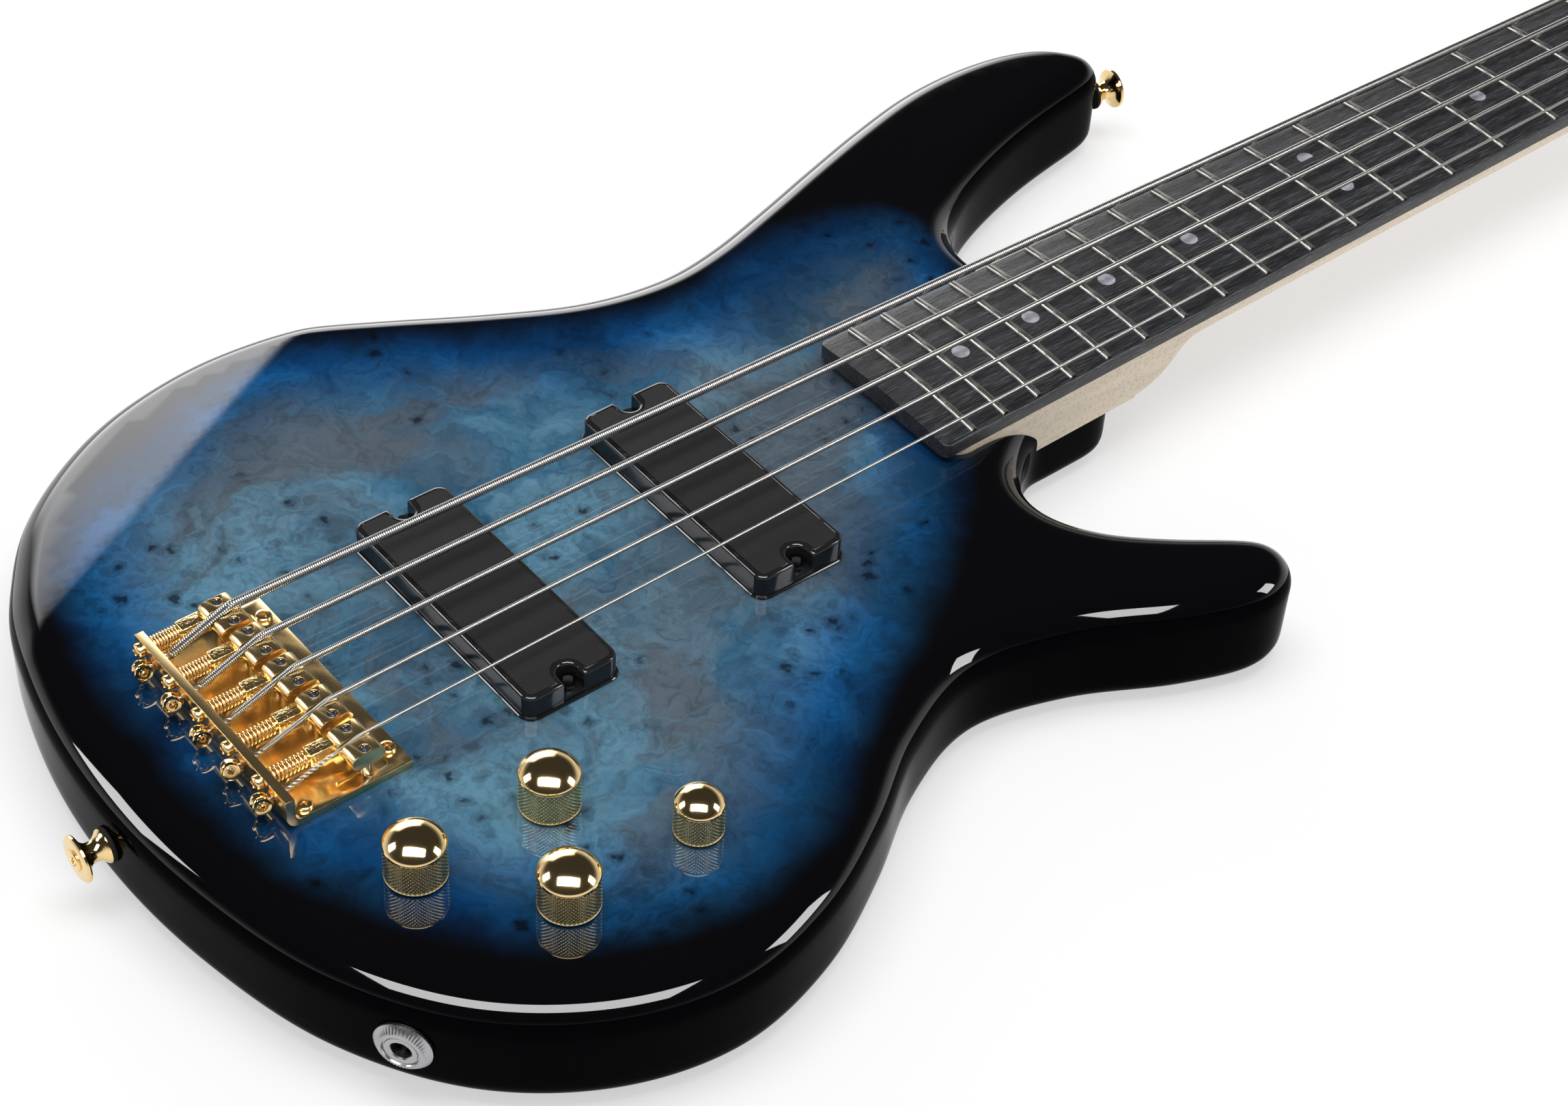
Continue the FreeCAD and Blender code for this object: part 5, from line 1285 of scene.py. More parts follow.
def fret_tree():
    """Tree that sets a fret at each semitone, scales it to the board and arches it."""
    tree, nodes, source, output = geometry_tree("Frets", (
        ("Fret Count", "NodeSocketInt", FRETS), ("Scale Length", "NodeSocketFloat", SCALE * MM),
        ("Nut Width", "NodeSocketFloat", NUT_WIDTH * MM),
        ("Last Width", "NodeSocketFloat", LAST_WIDTH * MM),
        ("Board Radius", "NodeSocketFloat", BOARD_RADIUS * MM),
        ("Board Height", "NodeSocketFloat", CROWN * MM), ("Inset", "NodeSocketFloat", 0.0009),
        ("Fret Length", "NodeSocketFloat", 0.060), ("Material", "NodeSocketMaterial", None)))
    inputs = source.outputs
    row = nodes.add("GeometryNodeMeshLine", {"Count": inputs["Fret Count"]})
    number = nodes.math("ADD", nodes.add("GeometryNodeInputIndex").outputs[0], 1.0)
    fall = nodes.math("POWER", 2.0, nodes.math("DIVIDE", number, -12.0))
    x = nodes.math("MULTIPLY", inputs["Scale Length"], fall)
    last = nodes.math("POWER", 2.0, nodes.math("DIVIDE", inputs["Fret Count"], -12.0))
    share = nodes.math("DIVIDE", nodes.math("SUBTRACT", 1.0, fall),
                       nodes.math("SUBTRACT", 1.0, last))
    spread = nodes.math("SUBTRACT", inputs["Last Width"], inputs["Nut Width"])
    width = nodes.math("MULTIPLY_ADD", spread, share, inputs["Nut Width"])
    width = nodes.math("SUBTRACT", width, nodes.math("MULTIPLY", inputs["Inset"], 2.0))
    place = nodes.add("ShaderNodeCombineXYZ", {0: x, 2: inputs["Board Height"]}).outputs[0]
    stretch = nodes.add("ShaderNodeCombineXYZ", {
        0: 1.0, 1: nodes.math("DIVIDE", width, inputs["Fret Length"]), 2: 1.0}).outputs[0]
    stored = nodes.add("GeometryNodeStoreNamedAttribute", {
        "Geometry": row.outputs[0], "Name": "stretch", "Value": stretch},
        data_type="FLOAT_VECTOR", domain="POINT")
    points = nodes.add("GeometryNodeSetPosition", {"Geometry": stored.outputs[0],
                                                   "Position": place})
    size = nodes.add("GeometryNodeInputNamedAttribute", {"Name": "stretch"},
                     data_type="FLOAT_VECTOR").outputs[0]
    copies = nodes.add("GeometryNodeInstanceOnPoints", {
        "Points": points.outputs[0], "Instance": inputs["Geometry"], "Scale": size})
    real = nodes.add("GeometryNodeRealizeInstances", {0: copies.outputs[0]})
    position = nodes.add("GeometryNodeInputPosition").outputs[0]
    parts = nodes.add("ShaderNodeSeparateXYZ", {0: position})
    square = nodes.math("MULTIPLY", parts.outputs[1], parts.outputs[1])
    radius_square = nodes.math("MULTIPLY", inputs["Board Radius"], inputs["Board Radius"])
    rise = nodes.math("SQRT", nodes.math("SUBTRACT", radius_square, square))
    drop = nodes.math("SUBTRACT", rise, inputs["Board Radius"])
    arched = nodes.add("GeometryNodeSetPosition", {
        "Geometry": real.outputs[0],
        "Offset": nodes.add("ShaderNodeCombineXYZ", {2: drop}).outputs[0]})
    end_tree(nodes, arched.outputs[0], source, output)
    return tree


def fret_x(number):
    return SCALE * 2 ** (-number / 12)


def dot_places():
    places = []
    for number in (3, 5, 7, 9, 12, 15, 17, 19, 21):
        x = (fret_x(number) + fret_x(number - 1)) / 2
        for y in ((-10.25, 10.25) if number == 12 else (0.0,)):
            places.append((x, y, float(arch(y))))
    return places


class BASS_OT_board(bpy.types.Operator):
    """Build the fretboard, its frets, its marker dots and the nut's finish"""
    bl_idname = "bass.make_board"
    bl_label = "Fretboard"

    def execute(self, context):
        look = context.scene.bass_neck
        piece = add_object("dark_board", skin(board_rings()))
        dressed(piece, board_wood(), ROOT, ("fretboard",), angle=40)
        nickel = bright_metal("fret_wire", (0.52, 0.50, 0.47), 0.30)
        wires = add_object("fret_wires", fret_shape(look.fret_width / MM, look.fret_height / MM,
                                                    60.0))
        wires.data.shade_smooth()
        run_tree(wires, fret_tree(), {"Material": nickel})
        dressed(wires, nickel, ROOT, ("frets",), angle=60)
        radius = look.dot_radius / MM
        profile = [(0, -1.4), (radius, -1.4), (radius, -0.1), (radius - 0.12, 0.03), (0, 0.03)]
        dots = scattered("position_dots", lathe(profile, 40), dot_places(),
                         [(0, 0, 1)] * len(dot_places()), pearl())
        dressed(dots, pearl(), ROOT, ("marker_dots",))
        side_places = [(x, board_half(x) + 0.02, BOARD_BOTTOM + 2.2) for x, y, _ in dot_places()]
        side = scattered("side_dots", lathe([(0, -0.6), (1.1, -0.6), (1.1, 0.02), (0, 0.02)], 20),
                         side_places, [(0, 1, 0)] * len(side_places), pearl())
        dressed(side, pearl(), ROOT)
        refinish("nut", moulded("nut_black", (0.02, 0.02, 0.02), 0.45))
        return {"FINISHED"}


# Strings
def string_y(index, spacing):
    return (2 - index) * spacing


def string_peak(index):
    y = string_y(index, BRIDGE_SPACING)
    bottom = 14.25 - y * y / 1400.0 + 0.55 * y / (2 * BRIDGE_SPACING)
    return BODY_TOP + bottom + DIAMETERS[index] / 2


def string_corners(index):
    """Winding's start by the bridge wall, the saddle's top and the nut's top."""
    radius = DIAMETERS[index] / 2
    y = string_y(index, BRIDGE_SPACING)
    nut_y = string_y(index, NUT_SPACING)
    nut_z = CROWN - BOARD_RADIUS + math.sqrt((BOARD_RADIUS + 1.6) ** 2 - nut_y ** 2) + radius
    peak = Vector((-COMPENSATIONS[index], y, string_peak(index)))
    hole = Vector((WALL_INNER + 1.0, y, STRING_HOLE))
    share = WINDING_STARTS[index]
    return [hole.lerp(peak, share), hole.lerp(peak, share + 0.05), peak,
            Vector((SCALE + 1.5, nut_y, nut_z))]


def rounded_path(corners, radius, steps=6):
    """Polyline whose corners are rounded."""
    path = [corners[0]]
    for before, corner, after in zip(corners, corners[1:], corners[2:]):
        towards = (corner - before).normalized()
        away = (after - corner).normalized()
        reach = radius * math.tan(towards.angle(away) / 2)
        start, end = corner - towards * reach, corner + away * reach
        for step in range(steps + 1):
            t = step / steps
            path.append(start * (1 - t) ** 2 + corner * 2 * t * (1 - t) + end * t ** 2)
    path.append(corners[-1])
    return path


def winding_points(index, turns):
    """Where a string meets its post, and its turns round it."""
    radius = DIAMETERS[index] / 2
    start = HEAD_FRAME.inverted() @ string_corners(index)[-1]
    post = Vector((POST_DISTANCES[index], POST_OFFSETS[index], 0))
    side = math.copysign(1, POST_OFFSETS[index])
    reach = 4.1 + 0.12 + radius
    flat = Vector((post.x - start.x, post.y - start.y))
    angle = math.atan2(flat.y, flat.x) - side * math.asin(reach / flat.length)
    run = math.sqrt(flat.length ** 2 - reach ** 2)
    low = 3.0 + radius
    touch = Vector((start.x + run * math.cos(angle), start.y + run * math.sin(angle), low))
    first = math.atan2(touch.y - post.y, touch.x - post.x)
    rise = (2 * radius + 0.55) / (2 * math.pi)
    found = [touch]
    for step in range(1, int(turns * 36) + 1):
        swept = step * math.pi / 18
        turn = first + side * swept
        found.append(Vector((post.x + reach * math.cos(turn), post.y + reach * math.sin(turn),
                             low + rise * swept)))
    return [HEAD_FRAME @ point for point in found]


def string_tree():
    """Tree that wraps a path in a tube with one groove for each turn of the winding."""
    tree, nodes, source, output = geometry_tree("Wound string", (
        ("Radius", "NodeSocketFloat", 0.001), ("Turn Length", "NodeSocketFloat", 0.0006),
        ("Groove", "NodeSocketFloat", 0.0001), ("Sides", "NodeSocketInt", 10),
        ("Material", "NodeSocketMaterial", None)))
    inputs = source.outputs
    curve = nodes.add("GeometryNodeMeshToCurve", {0: inputs["Geometry"]})
    half = nodes.math("MULTIPLY", inputs["Turn Length"], 0.5)
    even = nodes.add("GeometryNodeResampleCurve", {"Curve": curve.outputs[0], "Length": half},
                     mode="LENGTH")
    number = nodes.add("GeometryNodeInputIndex").outputs[0]
    stored = nodes.add("GeometryNodeStoreNamedAttribute", {
        "Geometry": even.outputs[0], "Name": "ring", "Value": number},
        data_type="FLOAT", domain="POINT")
    outline = nodes.add("GeometryNodeCurvePrimitiveCircle", {
        "Resolution": inputs["Sides"], "Radius": inputs["Radius"]})
    tube = nodes.add("GeometryNodeCurveToMesh", {
        "Curve": stored.outputs[0], "Profile Curve": outline.outputs[0], "Fill Caps": True})
    ring = nodes.add("GeometryNodeInputNamedAttribute", {"Name": "ring"}, data_type="FLOAT")
    odd = nodes.math("MODULO", ring.outputs[0], 2.0)
    depth = nodes.math("MULTIPLY", nodes.math("MULTIPLY", odd, inputs["Groove"]), -1.0)
    push = nodes.add("ShaderNodeVectorMath", {0: nodes.add("GeometryNodeInputNormal").outputs[0],
                                              "Scale": depth}, operation="SCALE").outputs[0]
    # Marks the groove rings, which the string's steel darkens as painted shade.
    marked = nodes.add("GeometryNodeStoreNamedAttribute", {
        "Geometry": tube.outputs[0], "Name": "groove", "Value": odd}, data_type="FLOAT",
        domain="POINT")
    grooved = nodes.add("GeometryNodeSetPosition", {"Geometry": marked.outputs[0], "Offset": push})
    part = nodes.math("FRACT", nodes.math("ADD", ring.outputs[0], 0.01))
    on_ring = nodes.add("FunctionNodeCompare", {0: part, 1: 0.25}, data_type="FLOAT",
                        operation="LESS_THAN").outputs[0]
    smooth = nodes.add("GeometryNodeSetShadeSmooth", {"Geometry": grooved.outputs[0],
                                                      "Shade Smooth": True}, domain="FACE")
    crisp = nodes.add("GeometryNodeSetShadeSmooth", {
        "Geometry": smooth.outputs[0], "Selection": on_ring, "Shade Smooth": False}, domain="EDGE")
    end_tree(nodes, crisp.outputs[0], source, output)
    return tree


def twist_shape(index):
    """Locked double twist of the string's core, from its ball end to the start of the winding."""
    radius = DIAMETERS[index] / 2
    y = string_y(index, BRIDGE_SPACING)
    hole = Vector((WALL_INNER + 1.0, y, STRING_HOLE))
    start, peak = string_corners(index)[0], string_corners(index)[2]
    end = start + (peak - start).normalized() * 0.6
    swell = 0.22 * radius + 0.28
    inner = Vector((WALL_OUTER - 4.4, y, STRING_HOLE))
    run = (hole - inner).length + (end - hole).length
    turns = run / 3.4
    steps = int(turns * 14)
    shapes = []
    for phase in (0.0, math.pi):
        path = []
        for step in range(steps + 1):
            share = step / steps
            place = inner.lerp(hole, min(1, share * run / (hole - inner).length))
            if share * run > (hole - inner).length:
                rest = (share * run - (hole - inner).length) / (end - hole).length
                place = hole.lerp(end, rest)
            angle = phase + share * 2 * math.pi * turns
            path.append((place.x, place.y + swell * math.cos(angle),
                         place.z + swell * math.sin(angle)))
        shapes.append(tube_shape(path, 0.34, 7))
    return several(*shapes)


def tube_shape(path, radius, sides):
    """Round tube along a polyline."""
    path = [Vector(p) for p in path]
    rings = []
    side = None
    for index, point in enumerate(path):
        way = (path[min(index + 1, len(path) - 1)] - path[max(index - 1, 0)]).normalized()
        if side is None:
            side = way.orthogonal().normalized()
        side = (side - way * side.dot(way)).normalized()
        up = way.cross(side)
        rings.append([tuple(point + side * (radius * math.cos(2 * math.pi * k / sides))
                            + up * (radius * math.sin(2 * math.pi * k / sides)))
                      for k in range(sides)])
    return skin(rings)


class BASS_OT_strings(bpy.types.Operator):
    """Build the round-wound strings, their ball ends and their turns on the posts"""
    bl_idname = "bass.make_strings"
    bl_label = "Strings"

    def execute(self, context):
        look = context.scene.bass_strings
        tree = string_tree()
        steel = string_metal()
        gold = gold_plate()
        ball = [(1.0, -1.9), (1.15, -2.2), (1.45, -2.2), (1.6, -2.0), (2.2, -2.0), (2.7, -2.2),
                (2.95, -1.9), (3.0, -1.5), (2.85, -1.1), (2.2, -0.8), (2.2, 0.8), (2.85, 1.1),
                (3.0, 1.5), (2.95, 1.9), (2.7, 2.2), (2.2, 2.0), (1.6, 2.0), (1.45, 2.2),
                (1.15, 2.2), (1.0, 1.9)]
        tilts = (0.30, 0.42, 0.25, 0.55, 0.34)
        for index, name in enumerate(STRINGS):
            corners = string_corners(index)
            turns = winding_points(index, 2.25)
            path = rounded_path(corners + [turns[0]], 9.0)[:-1] + turns
            edges = [(n, n + 1) for n in range(len(path) - 1)]
            piece = points_object("string_" + name + "_winding", path, edges=edges)
            turn = TURN_LENGTHS[index]
            run_tree(piece, tree, {
                "Radius": DIAMETERS[index] / 2 * MM, "Turn Length": turn * MM,
                "Groove": turn * look.groove_share * MM, "Sides": look.sides, "Material": steel})
            dressed(piece, steel, ROOT, ("string_" + name,), angle=None)
            y = string_y(index, BRIDGE_SPACING)
            centre = (WALL_OUTER - 3.2, y, STRING_HOLE)
            rings = ring_shape(ball, 32)
            facing = (-tilts[index] * 0.7, -1, tilts[index])
            end = add_object("ball_end_" + name, moved(rings, pointing(centre, facing)))
            dressed(end, gold, ROOT, angle=40)
            lock = add_object("core_twist_" + name, twist_shape(index))
            dressed(lock, steel, ROOT, angle=60)
        return {"FINISHED"}


def ring_shape(profile, sides):
    """Ring of revolution about Z of a closed (radius, height) profile."""
    turns = [2 * math.pi * index / sides for index in range(sides)]
    points, faces = skin([[(r * math.cos(turn), r * math.sin(turn), z) for r, z in profile]
                          for turn in turns], start_cap=False, end_cap=False)
    count = len(profile)
    last = (sides - 1) * count
    for index in range(count):
        following = (index + 1) % count
        faces.append((last + index, last + following, following, index))
    return points, faces


# Bridge
def bridge_profile():
    """Side view of the bent plate."""
    outer, inner = 5.0, 2.0
    points = [(PLATE_FRONT, BODY_TOP), (PLATE_FRONT, PLATE_TOP)]
    for step in range(9):
        angle = math.radians(90 * step / 8)
        points.append((WALL_INNER + inner - inner * math.sin(angle),
                       PLATE_TOP + inner - inner * math.cos(angle)))
    points += [(WALL_INNER, WALL_TOP), (WALL_OUTER, WALL_TOP)]
    for step in range(9):
        angle = math.radians(90 * step / 8)
        points.append((WALL_OUTER + outer - outer * math.cos(angle),
                       BODY_TOP + outer - outer * math.sin(angle)))
    return points


def screw_axis(index, x):
    return Vector((x, string_y(index, BRIDGE_SPACING) + SCREW_AXIS_SHIFT,
                   BODY_TOP + SCREW_AXIS_RISE))


def bridge_plate():
    rings = [[(x, y, z) for x, z in bridge_profile()] for y in (-PLATE_HALF, PLATE_HALF)]
    piece = add_object("bridge_bent_plate", skin(rings))
    cuts = []
    for index in range(5):
        y = string_y(index, BRIDGE_SPACING)
        cuts.append(slab(rounded_rectangle(-25.0, 4.6, y - 6.4, y + 6.4, 2.6), CHANNEL_FLOOR, 60.0))
        cuts.append(moved(lathe([(2.1, -4.0), (2.1, 6.0)], 24),
                          pointing((WALL_OUTER, y, STRING_HOLE), (1, 0, 0))))
        cuts.append(moved(lathe([(1.6, -4.0), (1.6, 6.0)], 24),
                          pointing(screw_axis(index, WALL_OUTER), (1, 0, 0))))
    for gap in range(4):
        y = string_y(gap, BRIDGE_SPACING) - BRIDGE_SPACING / 2
        cuts.append(slab(rounded_rectangle(-17.0, -9.0, y - 1.1, y + 1.1, 1.05), 30.0, 60.0))
    cuts.append(slab(rounded_rectangle(-13.0, -3.0, -40.9, -36.5, 1.0), 40.0, 60.0))
    tools = [add_object("cut", shape) for shape in cuts]
    combined(piece, tools)
    return softened(piece, 0.28, 3, 40)


def saddle_shape(index):
    """Outline of the saddle's bar, seen from the side: a pill with a flat top."""
    top = string_peak(index) - DIAMETERS[index] / 2 + 0.3
    front = -COMPENSATIONS[index] + SADDLE_FRONT
    rear = -COMPENSATIONS[index] - SADDLE_REAR
    radius = 2.8
    loop = []
    for cx, start in ((front - radius, -90), (rear + radius, 90)):
        for step in range(13):
            angle = math.radians(start + 180 * step / 12)
            loop.append((cx + radius * math.cos(angle), top - radius + radius * math.sin(angle)))
    y = string_y(index, BRIDGE_SPACING)
    return skin([[(x, side, z) for x, z in loop] for side in (y - 7.2, y + 7.2)]), top


def saddle_piece(index):
    shape, top = saddle_shape(index)
    piece = add_object("saddle_" + STRINGS[index] + "_block", shape)
    y = string_y(index, BRIDGE_SPACING)
    middle = -COMPENSATIONS[index] + (SADDLE_FRONT - SADDLE_REAR) / 2
    radius = DIAMETERS[index] / 2 + 0.25
    peak = Vector((-COMPENSATIONS[index], y, string_peak(index)))
    corners = string_corners(index)
    notch = []
    for other in (corners[1], corners[3]):
        way = (other - peak).normalized()
        section = [(y + radius * math.cos(math.radians(a)), radius * math.sin(math.radians(a)))
                   for a in range(180, 361, 20)] + [(y + radius, 6.0), (y - radius, 6.0)]
        start, end = peak - way * 0.3, peak + way * 14.0
        notch.append(skin([[(p.x, across, p.z + up) for across, up in section]
                           for p in (start, end)]))
    for side in (-1, 1):
        notch.append(moved(lathe([(1.8, -6.0), (1.8, 6.0)], 28),
                           Matrix.Translation(Vector((middle, y + side * 5.0, top)))))
    rear = -COMPENSATIONS[index] - SADDLE_REAR
    notch.append(moved(lathe([(1.7, -0.6), (1.7, 2.6)], 28),
                       pointing(screw_axis(index, rear), (1, 0, 0))))
    combined(piece, [add_object("cut", shape) for shape in notch])
    softened(piece, 0.22, 3, 35)
    start = screw_axis(index, rear - BOSS_LENGTH)
    boss = add_object("boss", several(
        moved(box((-2.45, -2.45, 0), (2.45, 2.45, BOSS_LENGTH + 2.2)), pointing(start, (1, 0, 0)))))
    softened(boss, 0.35, 3, 35)
    return piece, boss


def hex_socket_screw(radius, height, socket_radius, socket_depth, sides=28):
    """Headless screw with a hexagonal socket, built down from zero."""
    rings = []
    outer = [point[:2] for point in circle(radius, sides)]
    hexagon = []
    for x, y in outer:
        angle = math.atan2(y, x)
        wedge = (angle % (math.pi / 3)) - math.pi / 6
        reach = socket_radius * math.cos(math.pi / 6) / math.cos(wedge)
        hexagon.append((reach * math.cos(angle), reach * math.sin(angle)))
    for loop, scale, z in ((outer, 1, -height), (outer, 1, -0.25), (outer, 0.88, 0.0),
                           (hexagon, 1.12, 0.0), (hexagon, 1.0, -0.12),
                           (hexagon, 1.0, -socket_depth)):
        rings.append([(x * scale, y * scale, z) for x, y in loop])
    return skin(rings)


def cross_head(radius, height, slot_depth):
    """Round-topped screw head with a cross recess."""
    sides = 48
    outline = [(1.0, 0.0), (1.0, 0.55), (0.93, 0.80), (0.80, 0.92), (0.66, 0.98)]
    rings = [circle(radius * share, sides, height * rise) for share, rise in outline]
    cross = []
    for k in range(sides):
        angle = 2 * math.pi * k / sides
        bend = abs(((angle + math.pi / 4) % (math.pi / 2)) - math.pi / 4)
        reach = min(0.58, 0.15 / max(math.sin(bend), 1e-6))
        cross.append((radius * reach * math.cos(angle), radius * reach * math.sin(angle)))
    rings.append([(x, y, height) for x, y in cross])
    rings.append([(x * 0.8, y * 0.8, height - slot_depth) for x, y in cross])
    return skin(rings)


def spring_tree():
    """Tree that coils a wire between two ends along X."""
    tree, nodes, source, output = geometry_tree("Coil spring", (
        ("Turns", "NodeSocketFloat", 8.0), ("Length", "NodeSocketFloat", 0.010),
        ("Coil Radius", "NodeSocketFloat", 0.00225), ("Wire Radius", "NodeSocketFloat", 0.0003),
        ("Place", "NodeSocketVector", (0.0, 0.0, 0.0)), ("Material", "NodeSocketMaterial", None)))
    inputs = source.outputs
    coil = nodes.add("GeometryNodeCurveSpiral", {
        "Resolution": 20, "Rotations": inputs["Turns"], "Start Radius": inputs["Coil Radius"],
        "End Radius": inputs["Coil Radius"], "Height": inputs["Length"]})
    outline = nodes.add("GeometryNodeCurvePrimitiveCircle", {
        "Resolution": 8, "Radius": inputs["Wire Radius"]})
    wire = nodes.add("GeometryNodeCurveToMesh", {
        "Curve": coil.outputs[0], "Profile Curve": outline.outputs[0], "Fill Caps": True})
    laid = nodes.add("GeometryNodeTransform", {
        "Geometry": wire.outputs[0], "Translation": inputs["Place"],
        "Rotation": (0.0, math.pi / 2, 0.0)})
    smooth = nodes.add("GeometryNodeSetShadeSmooth", {"Geometry": laid.outputs[0],
                                                      "Shade Smooth": True})
    end_tree(nodes, smooth.outputs[0], source, output)
    return tree


class BASS_OT_bridge(bpy.types.Operator):
    """Build the bridge: bent plate, saddles, screws and springs"""
    bl_idname = "bass.make_bridge"
    bl_label = "Bridge"

    def execute(self, context):
        look = context.scene.bass_hardware
        gold = bridge_gold()
        pebbled = textured_gold()
        steel = bright_metal("set_screw_steel", (0.34, 0.35, 0.38), 0.20)
        dressed(bridge_plate(), gold, ROOT, ("bridge_plate",), angle=35)
        tree = spring_tree()
        for index, name in enumerate(STRINGS):
            body = "saddle_" + name
            piece, boss = saddle_piece(index)
            dressed(piece, gold, body, ("saddle_" + name,), angle=35)
            boss.name = "saddle_" + name + "_boss"
            dressed(boss, pebbled, body, angle=35)
            y = string_y(index, BRIDGE_SPACING)
            middle = -COMPENSATIONS[index] + (SADDLE_FRONT - SADDLE_REAR) / 2
            top = string_peak(index) - DIAMETERS[index] / 2 + 0.3
            places = [(middle, y - 5.0, top - 0.25), (middle, y + 5.0, top - 0.25)]
            screws = scattered("set_screws_" + name, several(
                hex_socket_screw(1.72, top - 0.25 - 42.2, 1.12, 2.2),
                lathe([(1.1, -(top - 0.25 - 41.1)), (1.1, -(top - 0.25 - 42.3))], 20)),
                places, [(0, 0, 1)] * 2, steel)
            dressed(screws, steel, body, ("height_screws_" + name,))
            rear = -COMPENSATIONS[index] - SADDLE_REAR
            seat = screw_axis(index, WALL_OUTER - 0.1)
            tip = rear + 3.0 - 0.6 - 3.6
            shank = moved(lathe([(1.5, 0.0), (1.5, tip - seat.x - 0.5), (1.1, tip - seat.x)], 28),
                          pointing(seat, (1, 0, 0)))
            head = moved(cross_head(2.45, 2.2, 1.0), pointing(seat, (-1, 0, 0)))
            screw = add_object("intonation_" + name, several(shank, head))
            dressed(screw, gold, "intonation_screw_" + name,
                    ("intonation_screw_" + name,), angle=40)
            start = screw_axis(index, WALL_INNER + 0.4)
            length = rear - BOSS_LENGTH - 0.4 - start.x
            coil = points_object("coil_" + name, [start])
            run_tree(coil, tree, {
                "Turns": look.spring_turns, "Length": length * MM, "Coil Radius": 0.00235,
                "Wire Radius": look.spring_wire, "Place": tuple(start * MM), "Material": gold})
            dressed(coil, gold, None,
                    ("intonation_springs",) if not index else (), angle=60)
            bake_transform(coil)
        spots = [(7.0, side * 34.6, PLATE_TOP) for side in (-1, 1)]
        spots += [(-25.0, side * 39.3, PLATE_TOP) for side in (-1, 1)]
        heads = scattered("plate_screws", several(
            cross_head(2.7, 1.5, 0.9), lathe([(1.55, -12.0), (1.55, 0.1)], 20)), spots,
            [(0, 0, 1)] * 4, gold)
        dressed(heads, gold, ROOT, ("bridge_screws",), angle=40)
        return {"FINISHED"}


# Pickups
def notched(x0, x1, y0, y1, radius, notch, depth, inset):
    """Rounded rectangle with a U notch in each short end."""
    loop = list(map(tuple, rounded_rectangle(x0 + inset, x1 - inset, y0 + inset, y1 - inset,
                                             max(0.5, radius - inset), 8)))
    middle = (x0 + x1) / 2
    reach = notch + inset
    found = []
    for index, point in enumerate(loop):
        found.append(point)
        following = loop[(index + 1) % len(loop)]
        for side, end, floor in ((1, y1, y1 - depth - inset), (-1, y0, y0 + depth + inset)):
            edge = end - side * inset
            if abs(point[1] - edge) < 1e-6 and abs(following[1] - edge) < 1e-6:
                way = 1 if following[0] > point[0] else -1
                centre = floor + side * reach
                found.append((middle - way * (reach + 0.8), edge))
                found.append((middle - way * (reach + 0.25), edge - side * 0.25))
                for step in range(13):
                    angle = math.pi * step / 12
                    found.append((middle - way * reach * math.cos(angle),
                                  centre - side * reach * math.sin(angle)))
                found.append((middle + way * (reach + 0.25), edge - side * 0.25))
                found.append((middle + way * (reach + 0.8), edge))
    return np.array(found)


class BASS_OT_pickups(bpy.types.Operator):
    """Build the two pickups with their screws"""
    bl_idname = "bass.make_pickups"
    bl_label = "Pickups"

    def execute(self, context):
        look = context.scene.bass_pickups
        satin = moulded("satin_shell", tuple(look.plastic), 0.42, 0.25, 0.12)
        gloss = plain_lacquer("glossy_shell", tuple(c * 0.7 for c in look.plastic), 0.10)
        edge = look.edge / MM
        half_x, half_y = PICKUP_WIDTH / 2, PICKUP_LENGTH / 2
        for x, name in zip(PICKUP_X, ("neck", "bridge")):
            rings = []
            for inset, z in ((0.0, 30.0), (0.0, PICKUP_TOP - edge),
                             (edge * 0.12, PICKUP_TOP - edge * 0.6),
                             (edge * 0.4, PICKUP_TOP - edge * 0.25),
                             (edge * 0.8, PICKUP_TOP - 0.12),
                             (edge + 0.25, PICKUP_TOP - 0.1), (edge + 0.35, PICKUP_TOP - 0.22),
                             (edge + 0.6, PICKUP_TOP - 0.22), (edge + 0.7, PICKUP_TOP)):
                loop = notched(x - half_x, x + half_x, -half_y, half_y, 4.0, 3.5, 7.4, inset)
                rings.append(level(loop, z))
            shell = add_object("pickup_" + name + "_shell", skin(rings))
            floor = rounded_rectangle(x - half_x + 0.1, x + half_x - 0.1, -half_y + 0.1,
                                      half_y - 0.1, 3.9)
            ledge = slab(floor, 30.0, BODY_TOP + 2.6)
            flange = [level(rounded_rectangle(x - half_x - r, x + half_x + r, -half_y - r,
                                              half_y + r, 4.0 + r), z)
                      for r, z in ((0.9, BODY_TOP + 0.02), (0.9, BODY_TOP + 0.5),
                                   (0.6, BODY_TOP + 0.8), (0.05, BODY_TOP + 0.85))]
            base = add_object("pickup_" + name + "_base", several(ledge, skin(flange)))
            dressed(base, gloss, ROOT, angle=35)
            dressed(shell, gloss, ROOT,
                    ("pickup_covers",) if name == "neck" else (), angle=50)
            shell.data.materials.append(satin)
            for face in shell.data.polygons:
                if face.center.z > (PICKUP_TOP - 0.05) * MM:
                    face.material_index = 1
        spots = [(x, side * (half_y - 3.8), BODY_TOP + 2.6) for x in PICKUP_X for side in (-1, 1)]
        black = bright_metal("black_screw", (0.045, 0.045, 0.05), 0.25)
        heads = scattered("pickup_screws", several(
            cross_head(2.6, 1.9, 1.1), lathe([(1.4, -20.0), (1.4, 0.1)], 16)), spots,
            [(0, 0, 1)] * 4, black)
        dressed(heads, black, ROOT, angle=40)
        refinish("pickup_coils", moulded("coil_tape", (0.06, 0.03, 0.02), 0.6))
        return {"FINISHED"}


